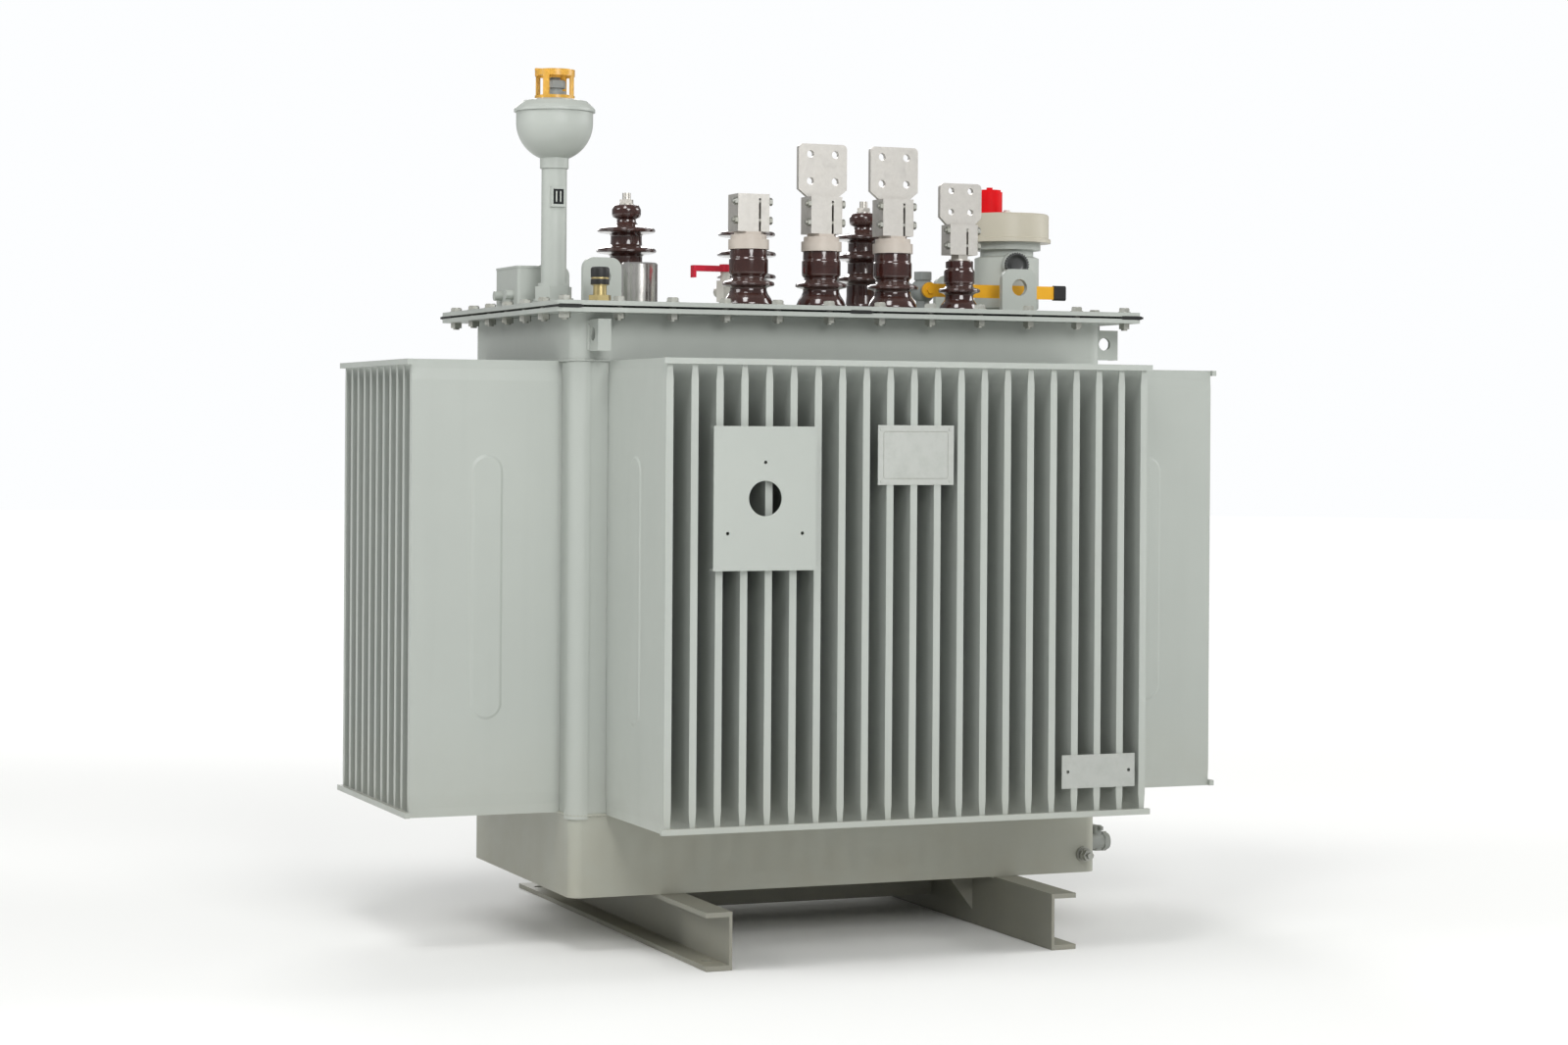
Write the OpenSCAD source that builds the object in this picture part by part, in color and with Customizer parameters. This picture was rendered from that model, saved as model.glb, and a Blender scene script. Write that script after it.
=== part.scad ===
// Three-phase oil-immersed transformer with a corrugated-fin tank.
// Millimetres, +Z up, long side along X, low-voltage side towards -Y.
// Origin: centre of the footprint at the resting surface.

/* [Base] */
// Height of the base channels
base_h = 100; // [60:1:200]
// Width of the channel flanges
channel_b = 48; // [30:1:100]
// Thickness of the channel web
channel_web = 5.3; // [3:0.1:12]
// Thickness of the channel flanges
channel_flange = 8.5; // [4:0.1:16]
// Distance from the centre to the back of each channel
channel_x = 306; // [150:1:500]
// Length of the base channels
channel_l = 1060; // [700:1:1600]
// Distance between the bolt-down holes across the channels
gauge_x = 660; // [300:1:1000]
// Distance between the bolt-down holes along a channel
gauge_y = 940; // [500:1:1400]
// Diameter of the bolt-down holes
gauge_hole_d = 22; // [10:1:40]
// Height of the cross channel between the base channels
cross_h = 70; // [40:1:95]
// Width of the cross channel
cross_b = 40; // [20:1:80]
// Thickness of the cross channel and of the gussets
cross_t = 6; // [4:1:12]
// Length of the gussets along the pan
gusset_l = 56; // [30:1:120]
// Height of the gussets
gusset_h = 74; // [30:1:95]
// Distance of the gussets from the centre
gusset_y = 200; // [100:1:400]

/* [Tank] */
// Length of the tank shell
tank_l = 1040; // [700:1:1600]
// Width of the tank shell
tank_w = 590; // [400:1:1000]
// Corner radius of the tank shell
tank_r = 22; // [10:1:60]
// Height of the bottom pan
pan_h = 145; // [60:1:300]
// Wall thickness of the pan
pan_t = 4; // [3:0.5:8]
// Bottom thickness of the pan
pan_floor = 6; // [4:0.5:12]
// Height of the fin walls
fin_h = 800; // [400:10:1400]
// Distance between fins
fin_pitch = 45; // [35:1:60]
// Thickness of a fin
fin_t = 13; // [6:0.5:16]
// Thickness of a fin where its ends are pressed flat
fin_flat_t = 10; // [4:0.5:12]
// Height of the pressed-flat ends
fin_press = 16; // [5:1:40]
// Height of the taper above the pressed-flat ends
fin_taper = 20; // [10:1:60]
// Sheet thickness of the fin walls
fin_sheet = 1.5; // [1:0.1:2]
// Number of fins on the long sides
fins_long = 21; // [5:1:40]
// Number of fins on the ends
fins_end = 11; // [3:1:20]
// Depth of the fins on the long sides
fin_depth_long = 300; // [100:5:400]
// Depth of the fins on the ends
fin_depth_end = 275; // [100:5:400]
// Width of the stiffening beads on the outermost fins
bead_w = 49; // [20:1:80]
// Length of the stiffening beads
bead_l = 456; // [100:1:700]
// Height of the bead centre above the resting surface
bead_z = 646; // [400:1:900]
// Height of the bead over the fin face
bead_t = 1.8; // [0.5:0.1:4]
// Depth of the tie bars across the fin tips
tie_d = 9; // [4:1:20]
// Height of the tie bars
tie_h = 10; // [4:1:20]
// Overhang of the tie bars past the outermost fins
tie_over = 6; // [0:1:20]
// Leg length of the corner posts
post_leg = 33; // [20:1:60]
// Thickness of the corner posts
post_t = 3; // [2:0.5:6]
// Overlap of the corner posts on the pan
post_lap = 7; // [2:1:20]
// Height of the upper band
band_h = 83; // [40:1:150]
// Thickness of the upper band
band_t = 5; // [3:0.5:8]
// Length of the flange and cover
flange_l = 1144; // [800:1:1700]
// Width of the flange and cover
flange_w = 728; // [500:1:1100]
// Thickness of the tank flange
flange_t = 8; // [5:1:16]
// Corner radius of flange and cover
flange_r = 12; // [4:1:40]
// Thickness of the gasket
gasket_t = 4; // [2:0.5:8]
// Length of the gasket ring
gasket_l = 1082; // [800:1:1600]
// Width of the gasket ring
gasket_w = 650; // [400:1:1000]
// Width of the gasket tabs that show at the cover edge
gasket_tab_w = 46; // [20:1:80]
// Thickness of the cover
cover_t = 8; // [5:1:16]
// Height of the lifting hooks
hook_h = 56; // [30:1:100]
// Projection of the lifting hooks
hook_d = 48; // [30:1:60]
// Thickness of the lifting hooks
hook_t = 8; // [4:1:14]
// Width of the turned edge of the hooks
hook_w = 24; // [12:1:50]
// Diameter of the eye in a hook
hook_hole_d = 24; // [12:1:34]
// Distance of the hooks on the long sides from the centre
hook_x = 493; // [300:1:500]
// Distance of the hooks on the right end from the centre
hook_y = 268; // [100:1:280]

/* [Cover bolts] */
// Bolt shank diameter
bolt_d = 12; // [8:1:20]
// Clearance hole diameter
bolt_hole_d = 13.5; // [9:0.5:24]
// Width across the flats of heads and nuts
bolt_af = 19; // [13:1:30]
// Height of the bolt head
bolt_head_h = 7.5; // [5:0.5:14]
// Height of the nut
bolt_nut_h = 10; // [6:0.5:18]
// Length of the shank under the cover surface
bolt_l = 33; // [30:1:80]
// Distance between bolts along the long sides
bolt_pitch = 100; // [60:1:200]
// Distance of the bolt rows on the long sides from the centre
bolt_row_y = 334; // [200:1:500]
// Distance of the bolt rows on the ends from the centre
bolt_row_x = 550; // [300:1:800]
// Distance between bolts on the ends
bolt_end_pitch = 108; // [60:1:200]

/* [Lifting lugs] */
// Distance of the lugs from the centre, along X
lug_x = 420; // [200:1:520]
// Distance of the lugs from the centre, along Y
lug_y = 150; // [80:1:300]
// Width of a lug
lug_w = 73; // [40:1:120]
// Height of a lug
lug_h = 87; // [40:1:140]
// Thickness of a lug
lug_t = 12; // [6:1:25]
// Height of the eye above the cover
lug_hole_z = 52; // [20:1:100]
// Diameter of the eye
lug_hole_d = 32; // [16:1:50]
// Radius of the top corners
lug_r = 20; // [5:1:36]

/* [Plates and small tank fittings] */
// Width of the gauge mounting plate
gauge_w = 187; // [100:1:300]
// Height of the gauge mounting plate
gauge_h = 244; // [100:1:400]
// Sheet thickness of the gauge plate
gauge_t = 3; // [1.5:0.5:6]
// Stand-off of the gauge plate from the fin tips
gauge_off = 18; // [8:1:60]
// Centre of the gauge plate, along X
gauge_cx = -283.5; // [-400:0.5:400]
// Centre height of the gauge plate
gauge_cz = 809; // [400:1:950]
// Diameter of the gauge opening
gauge_bore_d = 60; // [30:1:120]
// Diameter of the small gauge screw holes
gauge_screw_d = 6; // [3:0.5:12]
// Width of the rating plate
rating_w = 144; // [80:1:250]
// Height of the rating plate
rating_h = 103; // [60:1:200]
// Centre of the rating plate, along X
rating_cx = 3; // [-300:1:300]
// Centre height of the rating plate
rating_cz = 883; // [400:1:950]
// Width of the small two-hole plate
tag_w = 145; // [60:1:200]
// Height of the small two-hole plate
tag_h = 59; // [30:1:120]
// Centre of the small plate, along X
tag_cx = 362; // [-400:1:400]
// Centre height of the small plate
tag_cz = 325; // [250:1:700]
// Thickness of the blank plates
plate_t = 2; // [1:0.5:5]
// Position of the earth stud along X
earth_x = 490; // [-500:1:500]
// Height of the earth stud
earth_z = 134; // [110:1:230]
// Length of the earth stud
earth_l = 34; // [20:1:60]
// Position of the drain cock along Y
drain_y = -250; // [-260:1:260]
// Height of the drain cock
drain_z = 150; // [130:1:200]
// Radius of the drain cock body
drain_r = 15; // [10:1:25]
// Length of the drain cock body
drain_l = 46; // [30:1:80]
// Bore radius of the drain cock
drain_bore_r = 6; // [4:0.5:10]
// Radius of the turning plug
drain_plug_r = 9; // [7:0.5:12]

/* [Filler and level gauge] */
// Position of the standpipe along X
pipe_x = -462; // [-500:1:-300]
// Position of the standpipe along Y
pipe_y = 0; // [-100:1:100]
// Outer radius of the standpipe
pipe_r = 23.5; // [15:0.5:40]
// Wall thickness of the standpipe
pipe_t = 3; // [2:0.5:6]
// Height of the union block at the foot
union_h = 45; // [20:1:80]
// Radius of the union block
union_r = 32; // [25:1:60]
// Height of the top of the standpipe
pipe_top_z = 1417; // [1300:1:1600]
// Height of the window centre
window_z = 1352; // [1250:1:1400]
// Height of the window
window_h = 28; // [15:1:50]
// Width of the window
window_w = 20; // [10:1:30]
// Radius of the bowl
bowl_r = 71; // [50:1:120]
// Wall thickness of the bowl
bowl_t = 2.5; // [1.5:0.5:5]
// Height of the bowl centre
bowl_z = 1490; // [1400:1:1600]
// Height of the straight band of the bowl
bowl_band = 22; // [5:1:60]
// Width of the rolled rim
bowl_lip = 4; // [1:0.5:8]
// Rise of the lid
lid_rise = 21; // [8:1:40]
// Radius of the flat on top of the lid
lid_flat_r = 40; // [38:1:60]
// Radius of the float
float_r = 16; // [10:0.5:19]
// Height of the float
float_h = 44; // [20:1:80]
// Lowest position of the float above the cover
float_low = 42; // [20:1:100]
// Radius of the vent guard
guard_r = 37; // [25:1:50]
// Height of the vent guard
guard_h = 54; // [30:1:80]
// Width of the bars of the vent guard
guard_bar = 12; // [5:1:20]

/* [High-voltage bushings] */
// Distance between the high-voltage bushings
hv_pitch = 250; // [150:1:350]
// Row of the high-voltage bushings
hv_y = 200; // [100:1:280]
// Radius of the largest sheds
hv_shed_r = 58; // [40:1:90]
// Height of the high-voltage porcelain above the cover
hv_h = 209; // [120:1:320]
// Radius of the high-voltage stud
hv_stud_r = 8; // [4:0.5:12]

/* [Low-voltage bushings] */
// Row of the low-voltage bushings
lv_y = -170; // [-280:1:-100]
// Position of the first phase
lv_a_x = -142; // [-300:1:300]
// Position of the second phase
lv_b_x = 3; // [-300:1:300]
// Position of the third phase
lv_c_x = 148; // [-300:1:300]
// Position of the neutral
lv_n_x = 286; // [-300:1:350]
// Height of the phase porcelain
lv_h = 108; // [60:1:200]
// Radius of the phase sheds
lv_shed_r = 48; // [30:1:80]
// Radius of the phase studs
lv_stud_r = 15; // [8:0.5:24]
// Height of the collar
collar_h = 27; // [10:1:50]
// Height of the neutral porcelain
n_h = 98; // [50:1:200]
// Radius of the neutral shed
n_shed_r = 40; // [25:1:70]
// Radius of the neutral stud
n_stud_r = 10; // [6:0.5:20]
// Width of the phase clamps
clamp_w = 62; // [40:1:100]
// Height of the phase clamps
clamp_h = 69; // [40:1:120]
// Width of the phase palms
palm_w = 97; // [60:1:140]
// Height of the phase palms
palm_h = 98; // [60:1:140]
// Thickness of the palms
palm_t = 10; // [6:1:16]
// Hole distance of the phase palms
palm_pitch = 50; // [30:1:70]
// Hole diameter of the phase palms
palm_hole_d = 14; // [8:0.5:20]
// Width of the neutral clamp
n_clamp_w = 57; // [30:1:100]
// Height of the neutral clamp
n_clamp_h = 57; // [30:1:100]
// Width of the neutral palm
n_palm_w = 86; // [50:1:120]
// Height of the neutral palm
n_palm_h = 78; // [50:1:120]
// Hole distance of the neutral palm
n_palm_pitch = 40; // [20:1:60]
// Hole diameter of the neutral palm
n_palm_hole_d = 12; // [8:0.5:20]

/* [Tap changer] */
// Position of the tap changer along X
tap_x = -266; // [-400:1:400]
// Position of the tap changer along Y
tap_y = 80; // [-100:1:120]
// Radius of the turning cap
tap_cap_r = 35; // [20:1:50]
// Height of the turning cap above the cover
tap_cap_h = 92; // [50:1:140]

/* [Relief device] */
// Position of the relief device along X
relief_x = 474; // [300:1:476]
// Position of the relief device along Y
relief_y = 10; // [-100:1:100]
// Radius of the turret
turret_r = 63; // [40:1:80]
// Height of the turret above the cover
turret_h = 146; // [80:1:200]
// Radius of the drum
drum_r = 82; // [60:1:120]
// Height of the drum
drum_h = 56; // [30:1:100]
// Valve disc radius
disc_r = 48; // [30:1:70]
// Lift of the valve disc
disc_lift = 12; // [5:1:20]
// Radius of the signal pin
pin_r = 5; // [3:0.5:8]

/* [Valves] */
// Position of the sampling valve along X
sample_x = -122; // [-200:1:200]
// Position of the sampling valve along Y
sample_y = 0; // [-60:1:60]
// Length of the sampling lever
sample_lever_l = 67; // [40:1:120]
// Position of the filling valve along X
fill_x = 262; // [200:1:400]
// Lever plane of the filling valve
fill_y = -88; // [-110:1:-85]
// Lever height of the filling valve
fill_z = 1194; // [1170:1:1230]
// Length of the filling lever
fill_lever_l = 284; // [150:1:320]
// Width of the filling lever
fill_lever_w = 25; // [12:1:40]
// Length of the lever grip
grip_l = 26; // [20:1:80]

/* [Cover fittings] */
// Position of the thermometer pocket along X
pocket_x = -457; // [-500:1:500]
// Position of the thermometer pocket along Y
pocket_y = -250; // [-280:1:280]
// Length of the wiring box
box_l = 52; // [40:1:56]
// Width of the wiring box
box_w = 140; // [80:1:200]
// Height of the wiring box
box_h = 80; // [40:1:120]

/* [Core and windings] */
// Limb diameter
limb_d = 170; // [120:1:220]
// Distance between limbs
limb_pitch = 310; // [250:1:340]
// Yoke height
yoke_h = 170; // [120:1:220]
// Yoke depth
yoke_w = 146; // [100:1:180]
// Underside of the lower yoke
core_z = 150; // [120:1:200]
// Window height between the yokes
window_open = 540; // [300:1:640]
// Inner diameter of the low-voltage winding
lv_coil_id = 182; // [150:1:230]
// Outer diameter of the low-voltage winding
lv_coil_od = 225; // [180:1:260]
// Inner diameter of the high-voltage winding
hv_coil_id = 245; // [200:1:280]
// Outer diameter of the high-voltage winding
hv_coil_od = 290; // [240:1:306]
// Winding height
coil_h = 500; // [250:1:600]

/* [Hidden] */
$fn = 64;
eps = 0.5;
pan_z = base_h;
fin_z0 = pan_z + pan_h;
fin_z1 = fin_z0 + fin_h;
band_z = fin_z1;
flange_z = band_z + band_h;
gasket_z = flange_z + flange_t;
cover_z = gasket_z + gasket_t;
top_z = cover_z + cover_t;
half_l = tank_l / 2;
half_w = tank_w / 2;
tip_y = half_w + fin_depth_long;
tip_x = half_l + fin_depth_end;
mid_r = tank_r + band_t - 1;
shaft_r = 6;
lv_x = [lv_a_x, lv_b_x, lv_c_x];
hv_x = [-hv_pitch, 0, hv_pitch];
ends = [-1, 1];
limb_x = [-limb_pitch, 0, limb_pitch];
coil_z = core_z + yoke_h + (window_open - coil_h) / 2;
collar_z = top_z + lv_h;
clamp_z = collar_z + collar_h + 5;
palm_z = clamp_z + clamp_h;
n_clamp_z = top_z + n_h + 11;
n_palm_z = n_clamp_z + n_clamp_h + 6;
bolt_long_n = floor(2 * bolt_row_x / bolt_pitch) + 1;
bowl_rim_z = bowl_z + bowl_band;
lid_z = bowl_rim_z + lid_rise;
disc_t = 5;
lead_bar_w = 40;
lead_bar_t = 8;
lead_y = -100;
lead_r = 6;
lead_z = 1056;
clamp_screw_at = [0.3, 0.8];
clamp_screw_r = 4;
fill_body_y = fill_y + 30;
tap_low_z = 1070;
neutral_lead_y = -234;

// ---------- shared shapes ----------

// Rectangle with rounded corners, centred
module rounded(l, w, r) {
  square([l, w - 2 * r], center = true);
  square([l - 2 * r, w], center = true);
  for (i = ends, j = ends)
    translate([i * (l / 2 - r), j * (w / 2 - r)])
      circle(r);
}

// Ring with rounded corners and an even wall
module rounded_ring(l, w, r, t) {
  difference() {
    rounded(l, w, r);
    rounded(l - 2 * t, w - 2 * t, r - t);
  }
}

// Lies a drawing in the XZ plane, extruded towards -Y from y = 0
module upright(depth) {
  rotate([90, 0, 0])
    linear_extrude(depth)
      children();
}

// Hexagonal prism
module hex(af, h) {
  cylinder(h = h, r = af / sqrt(3), $fn = 6);
}

// Straight tube
module tube(ro, ri, h) {
  difference() {
    cylinder(h = h, r = ro);
    translate([0, 0, -eps])
      cylinder(h = h + 2 * eps, r = ri);
  }
}

// Places children at every cover bolt
module at_cover_bolts() {
  for (i = [0 : bolt_long_n - 1], j = ends)
    translate([(i - (bolt_long_n - 1) / 2) * bolt_pitch, j * bolt_row_y, 0])
      children();
  for (i = [-2 : 2], j = ends)
    translate([j * bolt_row_x, i * bolt_end_pitch, 0])
      children();
}

// ---------- base ----------

module base_channel(side) {
  color("#a9aea6")
    difference() {
      translate([side * channel_x, channel_l / 2, 0])
        upright(channel_l)
          mirror([side < 0 ? 1 : 0, 0])
            difference() {
              square([channel_b, base_h]);
              translate([channel_web, channel_flange])
                square([channel_b, base_h - 2 * channel_flange]);
            }
      for (j = ends)
        translate([side * gauge_x / 2, j * gauge_y / 2, -eps])
          cylinder(h = channel_flange + 2 * eps, d = gauge_hole_d);
    }
}

module base_channel_left() {
  base_channel(-1);
}

module base_channel_right() {
  base_channel(1);
}

module base_stiffeners() {
  color("#a9aea6") {
    translate([-channel_x, 0, base_h - cross_h])
      difference() {
        translate([0, -cross_b / 2, 0])
          cube([2 * channel_x, cross_b, cross_h]);
        translate([-eps, -cross_b / 2 + cross_t, -eps])
          cube([2 * channel_x + 2 * eps, cross_b - 2 * cross_t, cross_h - cross_t + eps]);
      }
    for (i = ends, j = ends)
      translate([0, j * gusset_y + cross_t / 2, base_h])
        upright(cross_t)
          polygon([
            [i * channel_x, 0],
            [i * (channel_x - gusset_l), 0],
            [i * channel_x, -gusset_h]
          ]);
  }
}

// ---------- tank ----------

module tank_pan() {
  color("#b3b5a9")
    difference() {
      translate([0, 0, pan_z])
        linear_extrude(pan_h)
          rounded(tank_l, tank_w, tank_r);
      translate([0, 0, pan_z + pan_floor])
        linear_extrude(pan_h)
          rounded(tank_l - 2 * pan_t, tank_w - 2 * pan_t, tank_r - pan_t);
      translate([half_l - pan_t - eps, drain_y, drain_z])
        rotate([0, 90, 0])
          cylinder(h = pan_t + 2 * eps, r = drain_bore_r);
    }
}

// Outline of a fin seen from its tip: thick body, ends pressed flat
module fin_outline(body, flat, inset) {
  z0 = fin_z0 + inset;
  z1 = fin_z1 - inset;
  polygon([
    [-flat, z0],
    [flat, z0],
    [flat, fin_z0 + fin_press],
    [body, fin_z0 + fin_press + fin_taper],
    [body, fin_z1 - fin_press - fin_taper],
    [flat, fin_z1 - fin_press],
    [flat, z1],
    [-flat, z1],
    [-flat, fin_z1 - fin_press],
    [-body, fin_z1 - fin_press - fin_taper],
    [-body, fin_z0 + fin_press + fin_taper],
    [-flat, fin_z0 + fin_press]
  ]);
}

// One corrugated wall facing -Y: base sheet, hollow fins, two stiffening beads
module fin_wall(count, half_base, face, depth) {
  span = (count - 1) * fin_pitch / 2;
  difference() {
    union() {
      translate([-half_base, -face, fin_z0])
        cube([2 * half_base, fin_sheet, fin_h]);
      for (i = [0 : count - 1])
        translate([i * fin_pitch - span, -face, 0])
          upright(depth)
            fin_outline(fin_t / 2, fin_flat_t / 2, 0);
      for (i = ends)
        translate([i * (span + fin_t / 2 - bead_t), -face - depth / 2, bead_z])
          rotate([0, i * 90, 0])
            linear_extrude(2 * bead_t) {
              square([bead_l - bead_w, bead_w], center = true);
              for (j = ends)
                translate([j * (bead_l - bead_w) / 2, 0])
                  circle(d = bead_w);
            }
    }
    for (i = [0 : count - 1])
      translate([i * fin_pitch - span, -face + fin_sheet + eps, 0])
        upright(depth + eps)
          fin_outline(fin_t / 2 - fin_sheet, fin_flat_t / 2 - fin_sheet, fin_sheet);
  }
}

module fin_wall_front() {
  color("#b4bab5")
    fin_wall(fins_long, half_l - tank_r, half_w, fin_depth_long);
}

module fin_wall_rear() {
  color("#b4bab5")
    rotate([0, 0, 180])
      fin_wall(fins_long, half_l - tank_r, half_w, fin_depth_long);
}

module fin_wall_left() {
  color("#b4bab5")
    rotate([0, 0, -90])
      fin_wall(fins_end, half_w - tank_r, half_l, fin_depth_end);
}

module fin_wall_right() {
  color("#b4bab5")
    rotate([0, 0, 90])
      fin_wall(fins_end, half_w - tank_r, half_l, fin_depth_end);
}

module corner_posts() {
  cut_l = tank_l + 2 * post_t - 2 * post_leg;
  cut_w = tank_w + 2 * post_t - 2 * post_leg;
  color("#b9bfba")
    translate([0, 0, fin_z0 - post_lap])
      linear_extrude(fin_h + post_lap)
        difference() {
          rounded_ring(tank_l + 2 * post_t, tank_w + 2 * post_t, tank_r + post_t, post_t);
          square([cut_l, tank_w * 2], center = true);
          square([tank_l * 2, cut_w], center = true);
        }
}

module tie_bars(count, face) {
  span = (count - 1) * fin_pitch / 2 + fin_t / 2 + tie_over;
  for (z = [fin_z0, fin_z1 - tie_h])
    translate([-span, -face - tie_d, z])
      cube([2 * span, tie_d, tie_h]);
}

module fin_tie_bars() {
  color("#b4bab5")
    for (a = [0, 180]) {
      rotate([0, 0, a])
        tie_bars(fins_long, tip_y);
      rotate([0, 0, a + 90])
        tie_bars(fins_end, tip_x);
    }
}

module upper_band() {
  color("#b4bab5")
    translate([0, 0, band_z])
      linear_extrude(band_h)
        rounded_ring(tank_l + 2 * (band_t - 1), tank_w + 2 * (band_t - 1), mid_r, band_t);
}

module tank_flange() {
  color("#b4bab5")
    difference() {
      translate([0, 0, flange_z])
        linear_extrude(flange_t)
          difference() {
            rounded(flange_l, flange_w, flange_r);
            rounded(tank_l - 2, tank_w - 2, mid_r - band_t);
          }
      translate([0, 0, flange_z - eps])
        at_cover_bolts()
          cylinder(h = flange_t + 2 * eps, d = bolt_hole_d, $fn = 32);
    }
}

// A hook: web standing off the band with an eye, outer edge turned
module tank_hook() {
  difference() {
    union() {
      translate([0, -hook_d, 0])
        cube([hook_t, hook_d, hook_h]);
      translate([0, -hook_d, 0])
        cube([hook_w, hook_t, hook_h]);
    }
    translate([-eps, -(hook_d - hook_t) / 2, hook_h / 2 + 2])
      rotate([0, 90, 0])
        cylinder(h = hook_t + 2 * eps, d = hook_hole_d);
  }
}

module tank_hooks() {
  face_y = half_w + band_t - 1;
  face_x = half_l + band_t - 1;
  z = band_z + 16;
  color("#b4bab5") {
    translate([-hook_x, -face_y, z])
      tank_hook();
    translate([-hook_x, face_y, z])
      mirror([0, 1, 0])
        tank_hook();
    translate([face_x, -hook_y, z])
      rotate([0, 0, 90])
        tank_hook();
    translate([face_x, hook_y, z])
      mirror([0, 1, 0])
        rotate([0, 0, 90])
          tank_hook();
  }
}

// ---------- cover ----------

module cover_gasket() {
  tab_x = [-bolt_row_x, 0, bolt_row_x];
  edge_y = flange_w / 2 + 2;
  color("#1c1d1c")
    difference() {
      translate([0, 0, gasket_z])
        linear_extrude(gasket_t) {
          difference() {
            rounded(gasket_l, gasket_w, mid_r);
            rounded(tank_l - 2, tank_w - 2, mid_r - band_t);
          }
          for (x = tab_x, j = ends)
            translate([x, j * (edge_y + half_w) / 2])
              square([gasket_tab_w, edge_y - half_w], center = true);
        }
      translate([0, 0, gasket_z - eps])
        at_cover_bolts()
          cylinder(h = gasket_t + 2 * eps, d = bolt_hole_d, $fn = 32);
    }
}

module cover_plate() {
  color("#b7bdb8")
    difference() {
      translate([0, 0, cover_z])
        linear_extrude(cover_t)
          rounded(flange_l, flange_w, flange_r);
      translate([0, 0, cover_z - eps]) {
        at_cover_bolts()
          cylinder(h = cover_t + 2 * eps, d = bolt_hole_d, $fn = 32);
        for (x = lv_x)
          translate([x, lv_y, 0])
            cylinder(h = cover_t + 2 * eps, r = lv_stud_r + 8);
        translate([lv_n_x, lv_y, 0])
          cylinder(h = cover_t + 2 * eps, r = n_stud_r + 8);
        for (x = hv_x)
          translate([x, hv_y, 0])
            cylinder(h = cover_t + 2 * eps, r = hv_stud_r + 18);
        translate([pipe_x, pipe_y, 0])
          cylinder(h = cover_t + 2 * eps, r = pipe_r - pipe_t);
        translate([tap_x, tap_y, 0])
          cylinder(h = cover_t + 2 * eps, r = 24);
        translate([relief_x, relief_y, 0])
          cylinder(h = cover_t + 2 * eps, r = disc_r - 8);
        translate([sample_x, sample_y, 0])
          cylinder(h = cover_t + 2 * eps, r = 8);
        translate([fill_x, fill_body_y, 0])
          cylinder(h = cover_t + 2 * eps, r = 10);
        translate([pocket_x, pocket_y, 0])
          cylinder(h = cover_t + 2 * eps, r = 8);
      }
    }
}

module cover_bolts() {
  chamfer = 1.5;
  washer_t = 2;
  washer_r = 12;
  color("#c9cbc6")
    at_cover_bolts() {
      translate([0, 0, top_z - bolt_l])
        cylinder(h = bolt_l + eps, d = bolt_d, $fn = 32);
      translate([0, 0, top_z])
        cylinder(h = washer_t, r = washer_r, $fn = 32);
      translate([0, 0, top_z + washer_t]) {
        hex(bolt_af, bolt_head_h - chamfer);
        cylinder(h = bolt_head_h, d = bolt_af - chamfer, $fn = 32);
      }
      translate([0, 0, flange_z - bolt_nut_h])
        difference() {
          hex(bolt_af, bolt_nut_h);
          translate([0, 0, -eps])
            cylinder(h = bolt_nut_h + 2 * eps, d = bolt_d + 0.4, $fn = 32);
        }
    }
}

module lifting_lugs() {
  color("#b4bab5")
    for (i = ends, j = ends)
      translate([i * lug_x, j * lug_y + lug_t / 2, top_z])
        upright(lug_t)
          difference() {
            union() {
              translate([-lug_w / 2, 0])
                square([lug_w, lug_h - lug_r]);
              translate([-lug_w / 2 + lug_r, 0])
                square([lug_w - 2 * lug_r, lug_h]);
              for (k = ends)
                translate([k * (lug_w / 2 - lug_r), lug_h - lug_r])
                  circle(lug_r);
            }
            translate([0, lug_hole_z])
              circle(d = lug_hole_d);
          }
}

// ---------- plates and small tank fittings ----------

module gauge_plate() {
  screw_x = 68;
  screw_low = -59;
  screw_high = 61;
  color("#bcc2bd")
    translate([gauge_cx, -tip_y, gauge_cz])
      difference() {
        union() {
          translate([-gauge_w / 2, -gauge_off, -gauge_h / 2])
            cube([gauge_w, gauge_t, gauge_h]);
          for (z = [-gauge_h / 2, gauge_h / 2 - gauge_t])
            translate([-gauge_w / 2, -gauge_off, z])
              cube([gauge_w, gauge_off, gauge_t]);
        }
        rotate([90, 0, 0]) {
          cylinder(h = gauge_off + eps, d = gauge_bore_d);
          translate([0, screw_high, 0])
            cylinder(h = gauge_off + eps, d = gauge_screw_d);
          for (i = ends)
            translate([i * screw_x, screw_low, 0])
              cylinder(h = gauge_off + eps, d = gauge_screw_d);
        }
      }
}

module rating_plate() {
  rivet_in = 7;
  rivet_r = 3;
  tag_hole_in = 12;
  color("#c4c8c2") {
    translate([rating_cx - rating_w / 2, -tip_y - plate_t, rating_cz - rating_h / 2])
      cube([rating_w, plate_t, rating_h]);
    for (i = ends, j = ends)
      translate([
        rating_cx + i * (rating_w / 2 - rivet_in),
        -tip_y - plate_t,
        rating_cz + j * (rating_h / 2 - rivet_in)
      ])
        rotate([90, 0, 0])
          cylinder(h = 1.5, r = rivet_r);
    translate([tag_cx, -tip_y, tag_cz])
      upright(plate_t)
        difference() {
          square([tag_w, tag_h], center = true);
          for (i = ends)
            translate([i * (tag_w / 2 - tag_hole_in), 0])
              circle(d = gauge_screw_d);
        }
  }
}

module earth_stud() {
  boss_r = 14;
  boss_l = 5;
  washer_r = 12;
  nut_z = 16;
  color("#b8b9b4")
    translate([earth_x, -half_w, earth_z])
      rotate([90, 0, 0]) {
        cylinder(h = earth_l, d = bolt_d);
        cylinder(h = boss_l, r = boss_r);
        translate([0, 0, nut_z - 3])
          cylinder(h = 3, r = washer_r);
        translate([0, 0, nut_z])
          hex(bolt_af, bolt_nut_h);
      }
}

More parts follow.
